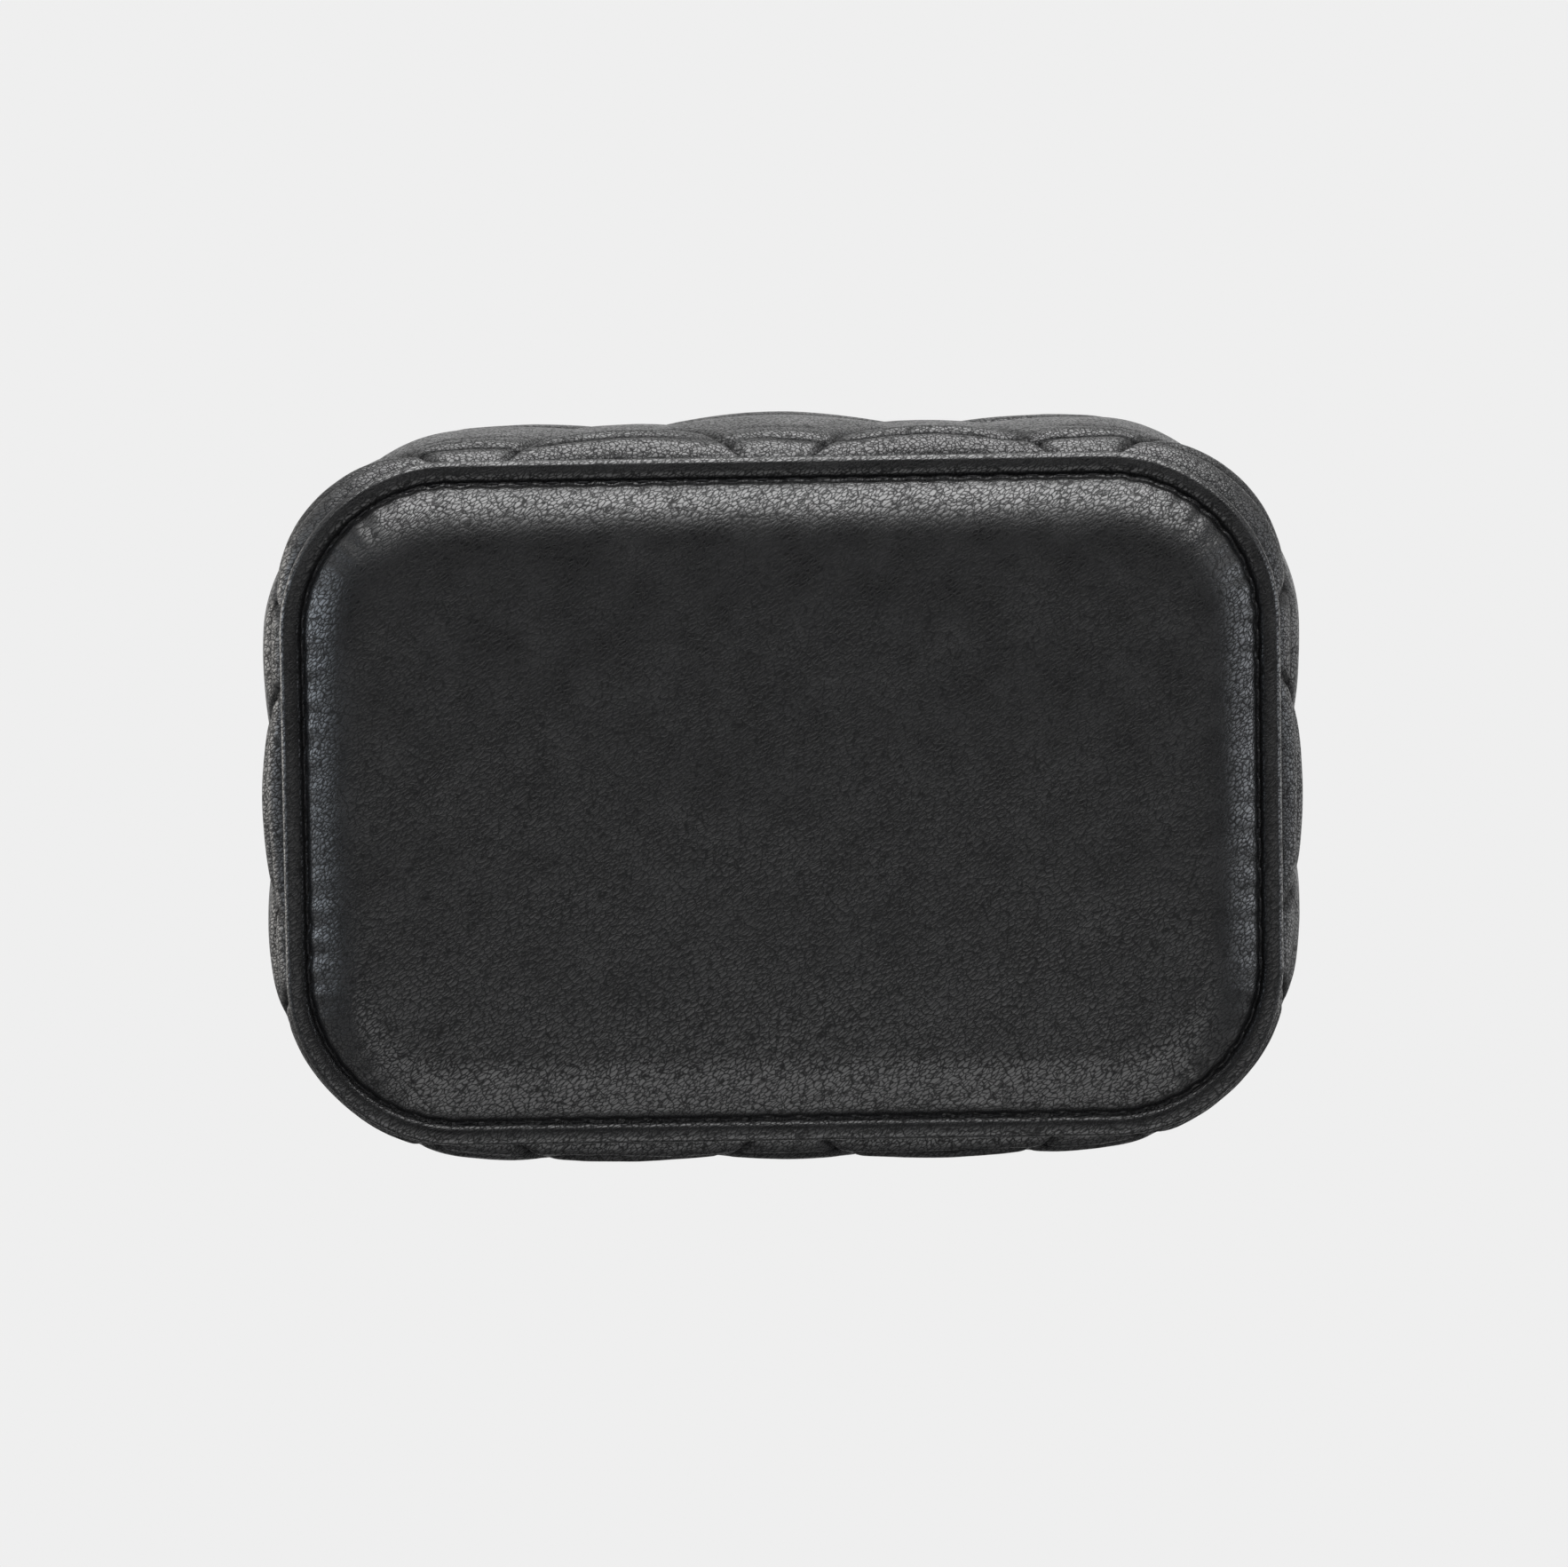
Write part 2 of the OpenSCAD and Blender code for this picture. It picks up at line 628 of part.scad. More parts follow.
// One diamond: straight sides up to the stitched lines' level, then sloping in to its middle.
module diamond() {
    wide = diamond_w / 2 + diamond_lap;
    narrow = diamond_w / 2 * (1 - diamond_slope);
    points = concat(diamond_corners(wide, skin_t), diamond_corners(wide, -lid_seam_h),
        diamond_corners(narrow, -lid_pad_h - diamond_lap));
    sides = [for (k = [0:3], j = [0, 4]) [j + k, j + (k + 1) % 4, j + (k + 1) % 4 + 4, j + k + 4]];
    polyhedron(points, concat([[3, 2, 1, 0], [8, 9, 10, 11]], sides));
}

module lid_diamonds() {
    reach_x = floor(case_w / diamond_w);
    reach_y = floor(case_d / diamond_w);
    for (i = [-reach_x:reach_x], j = [-reach_y:reach_y])
        if ((i + j) % 2 == 0) translate([i * diamond_w / 2, j * diamond_w / 2, 0]) diamond();
}

module lid_cover() {
    color(black_leather) translate([0, 0, lid_top_z]) mirror([0, 0, 1]) {
        padded_cover(lid_seam_h);
        intersection() {
            crown_room(lid_pad_h, skin_t - lid_seam_h);
            lid_diamonds();
        }
    }
}

module lid_foam() {
    color(pale_foam) translate([0, 0, lid_top_z]) mirror([0, 0, 1]) cover_foam(lid_seam_h);
}

module lid_board() {
    color(grey_board) plate(ceiling_z, plate_t, board_in);
}

module lid_welt() {
    color(black_leather) band(lid_welt_z, welt_t, -welt_inset, board_in);
}

module lid_stitching() {
    color(black_thread) stitches(-rim_w, lid_top_z - groove / 2);
}

module lid_wall_board() {
    color(grey_board) band(zip_high_z, lid_welt_z - zip_high_z, board_out, board_in);
}

module lid_quilted_wall() {
    color(black_leather) quilted_wall(lid_z, lid_z - body_z, lid_welt_z - body_z);
}

module lid_collar() {
    color(black_leather) band(zip_high_z, facing_h - collar_end_gap, tape_in, board_out);
}

module lid_zip_facing() {
    color(black_leather) difference() {
        band(zip_high_z, facing_h, band_out, tape_out);
        back_zone(hinge_w);
    }
}

module lid_facing_stitching() {
    color(black_thread) stitches(band_out, zip_high_z + facing_seam, -zip_reach, zip_reach);
}

module lid_lining() {
    color(dark_suede) difference() {
        plate(zip_high_z, ceiling_z - zip_high_z, board_in);
        plate(0, inner_ceiling_z, lining_in);
    }
}

// A rectangle with round corners.
module rounded(w, d, r) {
    square([w - 2 * r, d], center = true);
    square([w, d - 2 * r], center = true);
    for (x = [-1, 1], y = [-1, 1]) translate([x * (w / 2 - r), y * (d / 2 - r)]) circle(r);
}

module mirror_frame() {
    color(black_leather) difference() {
        translate([0, 0, mirror_frame_z]) linear_extrude(inner_ceiling_z - mirror_frame_z)
            rounded(mirror_w + 2 * mirror_frame_w - 2 * mirror_lip,
                mirror_d + 2 * mirror_frame_w - 2 * mirror_lip, mirror_frame_w);
        translate([-mirror_w / 2, -mirror_d / 2, inner_ceiling_z - mirror_t])
            cube([mirror_w, mirror_d, 2 * mirror_t]);
        translate([mirror_lip - mirror_w / 2, mirror_lip - mirror_d / 2, mirror_frame_z - mirror_t])
            cube([mirror_w - 2 * mirror_lip, mirror_d - 2 * mirror_lip, 3 * mirror_t]);
    }
}

module mirror_glass() {
    color(mirror_silver) translate([-mirror_w / 2, -mirror_d / 2, inner_ceiling_z - mirror_t])
        cube([mirror_w, mirror_d, mirror_t]);
}

base_cover();
base_foam();
base_board();
base_welt();
base_stitching();
body_wall_board();
body_quilted_wall();
body_collar();
body_zip_facing();
body_facing_stitching();
body_lining();
ring_bed();
ring_rolls();
divider_long();
divider_cross();
zip_tape_lower();
zip_teeth_lower();
zip_stops_lower();
hinge_panel();
hinge_strip();
lid_cover();
lid_foam();
lid_board();
lid_welt();
lid_stitching();
lid_wall_board();
lid_quilted_wall();
lid_collar();
lid_zip_facing();
lid_facing_stitching();
lid_lining();
mirror_frame();
mirror_glass();
zip_tape_upper();
zip_tape_end();
zip_teeth_upper();
zip_stops_upper();
zip_slider();
zip_puller();
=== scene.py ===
# %% [markdown]
# # A small quilted jewellery case in black lambskin
#
# The case stands on a smooth padded underside. Its walls are quilted in diamonds, a metal zip runs round it
# between two plain leather bands, and the lid turns on a leather panel at the back. Inside are ring rolls,
# two compartments and a mirror. The frame gives every solid part at its real size, in metres. This lesson
# dresses those parts: it replaces the soft ones with leather forms, and gives the others their finish.

# %% Load the frame
import math

import bmesh
import bpy
import numpy as np
from mathutils import Matrix, Vector


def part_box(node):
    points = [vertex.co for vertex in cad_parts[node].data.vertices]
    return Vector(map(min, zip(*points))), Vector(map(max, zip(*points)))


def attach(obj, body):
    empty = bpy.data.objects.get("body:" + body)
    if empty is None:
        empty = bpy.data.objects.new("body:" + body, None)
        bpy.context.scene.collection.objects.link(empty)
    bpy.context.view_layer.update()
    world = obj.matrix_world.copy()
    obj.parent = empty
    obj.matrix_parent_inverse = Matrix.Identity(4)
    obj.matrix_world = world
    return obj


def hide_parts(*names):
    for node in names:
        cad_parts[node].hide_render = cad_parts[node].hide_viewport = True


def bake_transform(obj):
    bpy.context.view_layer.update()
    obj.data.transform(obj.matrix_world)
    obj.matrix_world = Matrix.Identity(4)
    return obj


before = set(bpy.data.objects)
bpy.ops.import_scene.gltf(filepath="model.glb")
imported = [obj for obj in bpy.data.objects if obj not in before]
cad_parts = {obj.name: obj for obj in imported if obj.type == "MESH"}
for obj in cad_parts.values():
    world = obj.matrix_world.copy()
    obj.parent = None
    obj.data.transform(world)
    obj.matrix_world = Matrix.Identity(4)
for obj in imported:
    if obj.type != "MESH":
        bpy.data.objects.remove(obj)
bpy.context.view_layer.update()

# %% [markdown]
# ## Sizes
#
# Levels and widths come from the frame, so that each leather form sits on its own solid part. Only what a
# box can't tell is written here: the corner's radius, the quilt's layout and the leather's own thicknesses.
# All of them are in metres, and mm stands for a millimetre.

# %% Sizes from the frame
mm = 0.001


def low(node):
    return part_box(node)[0]


def high(node):
    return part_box(node)[1]


case_w = high("base_cover").x - low("base_cover").x
case_d = high("base_cover").y - low("base_cover").y
corner_r = 19 * mm
rim_z = low("base_stitching").z + 0.1 * mm
body_z = low("body_quilted_wall").z
facing_z = low("body_zip_facing").z
zip_low_z = high("body_zip_facing").z
zip_high_z = low("lid_zip_facing").z
zip_z = (zip_low_z + zip_high_z) / 2
lid_z = low("lid_quilted_wall").z
lid_welt_z = high("lid_quilted_wall").z
lid_top_z = high("lid_stitching").z - 0.1 * mm
print("rim %.1f x %.1f mm, zip at %.1f mm" % (case_w / mm, case_d / mm, zip_z / mm))

# %% [markdown]
# ## The outline
#
# Every band of this case follows one line: a rectangle with round corners. A place on it is a distance s
# from the middle of the front, counted to the right, and a point may stand out from it along the outline's
# normal. Working in s keeps stitches, teeth and diamonds evenly spaced round straights and corners alike.

# %% The outline by distance
run_x = case_w / 2 - corner_r
run_y = case_d / 2 - corner_r
turn = math.pi * corner_r / 2
girth = 4 * (run_x + run_y + turn)


def outline(s, out=0.0):
    """Points (n, 2) at distances s, standing out by out, and their outward angles."""
    s = np.mod(np.asarray(s, float), girth)
    out = np.broadcast_to(np.asarray(out, float), s.shape)
    x, y, angle = np.zeros_like(s), np.zeros_like(s), np.zeros_like(s)
    # Each stretch: its length, the point where it starts, its travel and the outward angle at its start.
    stretches = [(run_x, (0, -case_d / 2), (1, 0), -90), (turn, (run_x, -run_y), None, -90),
                 (2 * run_y, (case_w / 2, -run_y), (0, 1), 0), (turn, (run_x, run_y), None, 0),
                 (2 * run_x, (run_x, case_d / 2), (-1, 0), 90), (turn, (-run_x, run_y), None, 90),
                 (2 * run_y, (-case_w / 2, run_y), (0, -1), 180), (turn, (-run_x, -run_y), None, 180),
                 (run_x, (-run_x, -case_d / 2), (1, 0), 270)]
    start = 0.0
    for length, (px, py), travel, first in stretches:
        here = (s >= start) & (s <= start + length)
        t = s[here] - start
        if travel:
            a = np.full(t.shape, math.radians(first))
            x[here] = px + travel[0] * t + out[here] * np.cos(a)
            y[here] = py + travel[1] * t + out[here] * np.sin(a)
        else:
            a = math.radians(first) + t / corner_r
            x[here] = px + (corner_r + out[here]) * np.cos(a)
            y[here] = py + (corner_r + out[here]) * np.sin(a)
        angle[here] = a
        start += length
    return np.stack([x, y], -1), angle


def at(s, out, z):
    """One point on the case, as a Vector."""
    (x, y), = outline([s], [out])[0]
    return Vector((x, y, z))


print("girth %.1f mm" % (girth / mm))

# %% [markdown]
# ## Meshes from rows
#
# A leather form here is a grid: each row goes once round the case, or along a strip, and the rows climb over
# its profile. One helper turns such a grid of points into a smooth quad mesh. A row may close on itself, the
# rows may close too, and the first and last row may each be filled. Modifiers could sweep such forms too,
# but a grid keeps the place of every vertex known, and the creases and puckers are written vertex by vertex.

# %% Grid helper
def new_object(name, vertices, faces, smooth=True):
    mesh = bpy.data.meshes.new(name)
    mesh.from_pydata([tuple(v) for v in vertices], [], faces)
    mesh.validate()
    if smooth:
        mesh.shade_smooth()
    thing = bpy.data.objects.new(name, mesh)
    bpy.context.collection.objects.link(thing)
    return thing


def grid_object(name, points, round_rows=True, closed=False, fill_first=False, fill_last=False):
    """points is (rows, columns, 3). Rows that climb with columns running left to right face outwards."""
    rows, columns, _ = points.shape
    index = np.arange(rows * columns).reshape(rows, columns)
    a = index if closed else index[:-1]
    b = np.roll(index, -1, 0) if closed else index[1:]
    if round_rows:
        quads = np.stack([a, np.roll(a, -1, 1), np.roll(b, -1, 1), b], -1)
    else:
        quads = np.stack([a[:, :-1], a[:, 1:], b[:, 1:], b[:, :-1]], -1)
    faces = quads.reshape(-1, 4).tolist()
    if fill_first:
        faces.append(index[0][::-1].tolist())
    if fill_last:
        faces.append(index[-1].tolist())
    return new_object(name, points.reshape(-1, 3), faces)


print("helpers: new_object, grid_object")

# %% [markdown]
# ## Smooth noise without a seam
#
# Padding is never perfectly even. A few sine waves of mixed direction give a soft unevenness to a point in
# space. Their directions come from a fixed seed, so every run gives the same padding. Vertices are moved by
# it, so the highlights wobble as they do on real padding.

# %% Padding noise
wave_count = 7


def soft_noise(p, wavelength, seed):
    """A value mostly between -1 and 1 for points (..., 3), smooth over the wavelength."""
    total = np.zeros(p.shape[:-1])
    waves = np.random.default_rng(seed)
    for _ in range(wave_count):
        direction = waves.normal(size=3)
        direction /= np.linalg.norm(direction)
        pitch = wavelength * waves.uniform(0.7, 1.5)
        total += np.sin(p @ direction * 2 * math.pi / pitch + waves.uniform(0, 2 * math.pi))
    return total / math.sqrt(wave_count) / 1.2


along = soft_noise(np.linspace((-case_w / 2, 0, 0), (case_w / 2, 0, 0), 400), 10 * mm, 3)
print("noise along the width: %.2f to %.2f" % (along.min(), along.max()))

# %% [markdown]
# ## Materials
#
# Each finish is a small node tree. The colours and constants sit on the shader's own sockets, and textures
# only drive what really varies: the grain's height, a little gloss and a little colour.

# %% Material helpers
class Finish:
    """A material with a Principled shader and short calls to add nodes."""

    def __init__(self, name, color, roughness, **sockets):
        self.material = bpy.data.materials.new(name)
        self.material.use_nodes = True
        self.tree = self.material.node_tree
        self.shader = self.tree.nodes["Principled BSDF"]
        self.shader.inputs["Base Color"].default_value = (*color, 1)
        self.shader.inputs["Roughness"].default_value = roughness
        for socket, value in sockets.items():
            self.shader.inputs[socket.replace("_", " ")].default_value = value
        self.place = self.node("ShaderNodeTexCoord").outputs["Object"]

    def node(self, kind, **values):
        """Adds a node. An output is linked, and any other value is set on its socket or on the node."""
        made = self.tree.nodes.new(kind)
        for key, value in values.items():
            name = key.replace("_", " ")
            if hasattr(made, key) and name not in made.inputs:
                setattr(made, key, value)
            else:
                self.put(made.inputs[name], value)
        return made

    def put(self, socket, value):
        """Links an output to a socket, or sets the socket's own value."""
        if isinstance(value, bpy.types.NodeSocket):
            self.tree.links.new(value, socket)
        else:
            socket.default_value = value

    def noise(self, wavelength, detail=2.0, place=None, **more):
        return self.node("ShaderNodeTexNoise", Vector=place or self.place, Scale=1 / wavelength,
                         Detail=detail, **more).outputs["Fac"]

    def cells(self, size, place=None, feature="DISTANCE_TO_EDGE", **more):
        made = self.node("ShaderNodeTexVoronoi", feature=feature, Vector=place or self.place,
                         Scale=1 / size, **more)
        return made.outputs["Distance"]

    def ramp(self, value, low_in, high_in, low_out=0.0, high_out=1.0):
        """Stretches a value from one range to another, and holds it inside the new range."""
        made = self.node("ShaderNodeMapRange", Value=value)
        sockets = ("From Min", "From Max", "To Min", "To Max")
        for name, number in zip(sockets, (low_in, high_in, low_out, high_out)):
            made.inputs[name].default_value = number
        return made.outputs["Result"]

    def maths(self, operation, a, b=0.0):
        made = self.node("ShaderNodeMath", operation=operation)
        self.put(made.inputs[0], a)
        self.put(made.inputs[1], b)
        return made.outputs[0]

    def mix(self, factor, a, b):
        """Mixes two colours."""
        made = self.node("ShaderNodeMix", data_type="RGBA")
        self.put(made.inputs["Factor"], factor)
        for name, value in (("A", a), ("B", b)):
            socket = [i for i in made.inputs if i.name == name and i.type == "RGBA"][0]
            self.put(socket, value if isinstance(value, bpy.types.NodeSocket) else (*value, 1))
        return [o for o in made.outputs if o.type == "RGBA"][0]

    def bump(self, height, distance, strength=1.0, below=None):
        """Adds a bump of a height texture over the bump below it, and returns its normal."""
        made = self.node("ShaderNodeBump", Strength=strength, Distance=distance, Height=height)
        if below is not None:
            self.put(made.inputs["Normal"], below)
        return made.outputs["Normal"]

    def stretched(self, x, y, z):
        """The place, scaled along each axis."""
        made = self.node("ShaderNodeMapping", Vector=self.place)
        made.inputs["Scale"].default_value = (x, y, z)
        return made.outputs["Vector"]

    def set(self, socket, value):
        """Sets or links a socket of the shader."""
        self.put(self.shader.inputs[socket], value)


print("finishes are made by short calls on Finish")

# %% [markdown]
# ## Black lambskin
#
# Lambskin is smooth and satin. Its grain is a net of tiny plates, a third of a millimetre across, drawn out
# in one slanting direction, with short creases between them. An image of leather would blur or repeat at
# this nearness, so a Voronoi pattern gives the plates, warped by noise so that no cell looks drawn. A
# second, wider pattern gives the longer creases, and a third the pores. The bumps are kept very low: a deep
# bump scatters the lamps' light over the whole skin and turns black leather grey.
#
# A crease is dark because little light gets out of it, so that shade is painted in: a crease loses gloss and
# colour as well as height. The meshes carry one more measure, "crease", that says how deep a vertex lies in a
# seam's valley. The same painted shade, a loss of gloss, follows it, and that draws every seam and fold as a
# dark line.

# %% Lambskin
plate_size = 0.37 * mm
plate_stretch = (2.5, 1.0, 1.1)
plate_depth = 0.016 * mm
crease_depth = 0.006 * mm
long_plate = 3.4
pore_gap = 0.9 * mm
warp_size, warp_shift = 1.3 * mm, 0.5 * mm
swelling_size, swelling_depth = 2.4 * mm, 0.03 * mm
wear_size = 5 * mm
crease_roughness = 0.25
# The gloss and the black left in the grain's creases and in the seams are painted shade.
crease_shade_gloss = 0.25
seam_shade_gloss = 0.15
crease_painted_shade = (0.0008, 0.0008, 0.0010)
plate_black = (0.0022, 0.0022, 0.0028)


def lambskin(name, grain=1.0, roughness=0.29, spin=(0, 0, -38), gloss=0.5):
    """Lambskin with a grain of this strength, turned by spin, in degrees about each axis."""
    f = Finish(name, (0.0028, 0.0028, 0.0032), roughness, Specular_IOR_Level=gloss)
    # The grain is turned first and then drawn out, so that it runs slantwise.
    turned = f.node("ShaderNodeMapping", vector_type="TEXTURE", Vector=f.place)
    turned.inputs["Rotation"].default_value = [math.radians(d) for d in spin]
    turned.inputs["Scale"].default_value = plate_stretch
    warp = f.node("ShaderNodeTexNoise", Vector=f.place, Scale=1 / warp_size, Detail=3.0).outputs["Color"]
    shift = f.node("ShaderNodeVectorMath", operation="SCALE", Scale=warp_shift)
    f.put(shift.inputs[0], warp)
    place = f.node("ShaderNodeVectorMath", operation="ADD")
    f.put(place.inputs[0], turned.outputs["Vector"])
    f.put(place.inputs[1], shift.outputs[0])
    pebbles = f.cells(plate_size, place.outputs[0], "SMOOTH_F1", Smoothness=0.35)
    creases = f.ramp(f.cells(plate_size, place.outputs[0]), 0.02, 0.17)
    long_creases = f.ramp(f.cells(plate_size * long_plate, place.outputs[0]), 0.0, 0.035)
    pores = f.ramp(f.cells(pore_gap, feature="F1"), 0.05, 0.16, 0.55, 1.0)
    seam_shade = f.node("ShaderNodeAttribute", attribute_name="crease").outputs["Fac"]
    normal = f.bump(f.noise(swelling_size, 2.0), swelling_depth, 0.3)
    normal = f.bump(f.maths("MULTIPLY", pebbles, -1.0), plate_depth * grain, 1.0, normal)
    normal = f.bump(creases, crease_depth * grain, 1.0, normal)
    normal = f.bump(long_creases, crease_depth * grain, 1.0, normal)
    f.set("Normal", normal)
    hand = f.noise(wear_size, 3.0)
    worn = f.ramp(hand, 0.3, 0.7, roughness - 0.04, roughness + 0.05)
    open_grain = f.maths("MULTIPLY", f.maths("MULTIPLY", creases, long_creases), pores)
    f.set("Roughness", f.maths("ADD", worn, f.ramp(open_grain, 0.0, 1.0, crease_roughness, 0.0)))
    # Shade is painted into the creases and pores by taking away gloss, so they stay dark even inside a
    # highlight. Where a seam pulls the leather down into a narrow valley, nearly all the gloss is taken away,
    # as painted shade.
    shine = f.ramp(open_grain, 0.0, 1.0, gloss * crease_shade_gloss, gloss)
    f.set("Specular IOR Level", f.maths("MULTIPLY", shine, f.ramp(seam_shade, 0.0, 1.0, 1.0, seam_shade_gloss)))
    # Creases and pores are painted a darker black: painted shade, as little light gets out of them.
    f.set("Base Color", f.mix(open_grain, crease_painted_shade, plate_black))
    return f.material


smooth_lambskin = lambskin("smooth_lambskin")
quilted_lambskin = lambskin("quilted_lambskin", grain=1.6, roughness=0.40, spin=(60, 35, -30), gloss=0.5)
edge_lambskin = lambskin("edge_lambskin", grain=0.6, roughness=0.33, spin=(40, 30, 10), gloss=0.40)
print("lambskin: smooth, quilted and edge")

# %% [markdown]
# ## Pieces and their solids
#
# Every piece that is made here rides on the body that carries the real one, where it is given one, and hides
# the solid part that it stands for. One helper does all of it, so no piece can be left without a finish.

# %% Giving a piece its finish and body
def dress(piece, material, body, slot, *nodes):
    """Gives a piece its material and its body, and hides the solid parts that it stands for. The slot is not
    used.
    """
    piece.data.materials.clear()
    piece.data.materials.append(material)
    if body:
        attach(piece, body)
    if nodes:
        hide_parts(*nodes)
    return piece


# %% [markdown]
# ## The underside
#
# The underside is one skin of lambskin over foam, sewn down along a flat rim. Its profile is what makes it
# read as padded: a flat rim with a rounded edge, a tight valley along the stitches, a steep shoulder and a
# long, almost flat crown. The skin is gathered a little at each stitch, so small puckers run up the
# shoulder. The rows go round the case, from the hidden inner edge over the rim and on to the middle of the
# crown.
#
# A cushion could be blown up under a cloth simulation, but its seam wouldn't lie where the stitches are. A
# profile that is swept round the case puts both the seam and its puckers in their places.

# %% Sizes of a padded cover
stitch_pitch = 3.3 * mm
stitch_in = 2.5 * mm
rim_t = 1.6 * mm
rim_edge_r = 0.7 * mm
valley_in = 2.48 * mm
valley_w = 0.42 * mm
valley_h = 0.44 * mm
pad_start = 2.74 * mm
shoulder_in = 7.0 * mm
crown_in = 15 * mm
pad_h = rim_z
spine = run_x - run_y
print("padding stands %.1f mm out of its rim" % (pad_h / mm))


# %% Profile of a padded cover
def shoulder(inward):
    """Depth of the crown at a distance in from the valley, as a share of its full depth."""
    t = np.clip(inward / crown_in, 0, 1)
    steep = 1 - (1 - np.clip(inward / shoulder_in, 0, 1)) ** 2.2
    return 0.92 * steep + 0.08 * np.sin(t * math.pi / 2)


def rim_rows():
    """(distance in from the rim's edge, level above the rim's outer face), from inside to the valley."""
    r = rim_edge_r
    rows = [(3.4 * mm, rim_t), (1.2 * mm, rim_t), (r, rim_t)]
    for a in np.radians(np.linspace(75, 0, 5)):
        rows.append((r - r * math.cos(a), rim_t - r + r * math.sin(a)))
    for a in np.radians(np.linspace(0, 90, 9)):
        rows.append((r - r * math.cos(a), r - r * math.sin(a)))
    # The rim is a flat roll, highest in its middle, that falls into the valley along the stitches.
    rows += [(d * mm, 0.0) for d in (0.85, 1.0, 1.2)]
    for d in (1.4, 1.6, 1.8, 1.95, 2.08, 2.2, 2.3, 2.4, 2.48, 2.56, 2.66):
        fall = math.exp(-abs((d * mm - valley_in) / valley_w) ** 1.6)
        rows.append((d * mm, 0.05 * mm * (d - 1.2) ** 2 + valley_h * fall))
    return rows


# The rim's inner slope gets painted shade: its gloss is taken away towards the valley.
rim_shade_share = 0.7
loss_start, loss_width = 1.0 * mm, 1.25 * mm


def rim_painted_shade(inward, level):
    """How much painted shade the rim gets, as lost gloss: nothing on its edge, more and more down to the
    valley.
    """
    if level > rim_t / 2:
        return 0.0
    return rim_shade_share * min(max((inward - loss_start) / loss_width, 0), 1)


print("rows from the rim's edge to the valley:", len(rim_rows()))

# %% [markdown]
# ## Puckers
#
# A seam in soft leather is never straight. Each stitch pulls the skin down and lets it rise again before the
# next, and a maker's hand doesn't pull equally hard all round. A bump texture could show that, but the light
# line along the shoulder would stay ruler-straight. So the puckers are moved vertices: a cosine at the
# stitch pitch, whose strength and place drift with a slow noise. Deep in a seam little light gets out, and
# the shader paints that shade in by taking away gloss. An image could mask the gloss there, but the rows
# know already how deep they lie, so that depth is kept at each vertex for the leather's shader.

# %% Puckers along the seam
def puckers(s):
    """The pull of the stitches round the seam: one ripple to a stitch, and not equally strong all round."""
    place = np.column_stack([outline(s)[0], np.zeros(len(s))])
    strength = 0.75 + 0.45 * soft_noise(place, 14 * mm, 31)
    drift = 0.5 * soft_noise(place, 10 * mm, 32)
    return strength * np.cos(2 * math.pi * s / stitch_pitch + drift)


print("stitches round the seam:", round(girth / stitch_pitch))

# %% Marking the creases for painted shade
def mark_seam_shade(thing, depth):
    """Keeps with every vertex how deep it lies in a seam's valley, from 0 to 1, for the shade that the
    leather's shader paints there.
    """
    thing.data.attributes.new("crease", "FLOAT", "POINT").data.foreach_set("value", np.ravel(depth))


print("creases are kept as a number at each vertex")

# %% A padded cover
seam_width = 0.5 * mm
seam_wander = 0.08 * mm
rim_pucker = 0.06 * mm
pad_pucker, pad_pucker_reach = 0.14 * mm, 1.3 * mm
lip_share, lip_reach = 0.85, 0.30 * mm
foot_shade, foot_width = 0.5, 0.16 * mm


def padded_cover(name, crown_h, columns=720, quilt=None):
    """A padded cover with its rim's outer face at level 0 and its crown below it.

    quilt(x, y) is a height that is added to the crown. Columns run round the case."""
    s = np.linspace(0, girth, columns, endpoint=False)
    pull = puckers(s)
    rows, seam_shade_rows = [], []
    for inward, level in rim_rows():
        near = math.exp(-((inward - stitch_in) / seam_width) ** 2)
        # The seam wanders a little, as a sewn seam does.
        xy, _ = outline(s, -inward - near * seam_wander * pull)
        rows.append(np.column_stack([xy, level + rim_pucker * near * pull]))
        seam_shade_rows.append(rim_painted_shade(inward, level))
    last_level = rim_rows()[-1][1]
    steps = np.concatenate([np.linspace(0, 8.5, 46), np.linspace(8.5, 13, 12)[1:]]) * mm
    share_rows = [0.0] * len(rows)
    for d in steps:
        xy, _ = outline(s, -(pad_start + d))
        share = float(shoulder(d))
        lip = last_level * lip_share * math.exp(-d / lip_reach)
        z = -share * crown_h + lip + pad_pucker * math.exp(-d / pad_pucker_reach) * pull
        rows.append(np.column_stack([xy, z]))
        # At the pad's foot, shade is painted in by taking away gloss.
        seam_shade_rows.append(foot_shade * math.exp(-(d / foot_width) ** 2))
        share_rows.append(share)
    # The rest of the crown closes in on the outline's own middle line.
    last, flat = rows[-1], share_rows[-1]
    middle = np.column_stack([np.clip(last[:, 0], -spine, spine), np.zeros(columns), last[:, 2]])
    for t in np.linspace(0, 1, 34 if quilt is None else 70)[1:]:
        row = last * (1 - t) + middle * t
        share = flat + (1 - flat) * math.sin(min(1, t * 1.2) * math.pi / 2)
        row[:, 2] = -crown_h * share
        rows.append(row)
        share_rows.append(share)
        seam_shade_rows.append(0.0)
    points = np.array(rows)
    share = np.array(share_rows)[:, None]
    # Uneven padding: soft waves that die out at the valley, so that the rim stays true.
    flat_place = points * [1, 1, 0]
    points[..., 2] += share ** 2 * (0.05 * mm * soft_noise(flat_place, 26 * mm, 3)
                                    + 0.018 * mm * soft_noise(flat_place, 9 * mm, 5))
    if quilt is not None:
        points[..., 2] -= share ** 0.8 * quilt(points[..., 0], points[..., 1])
    cover = grid_object(name, points[:, ::-1])
    mark_seam_shade(cover, np.repeat(seam_shade_rows, columns))
    return cover


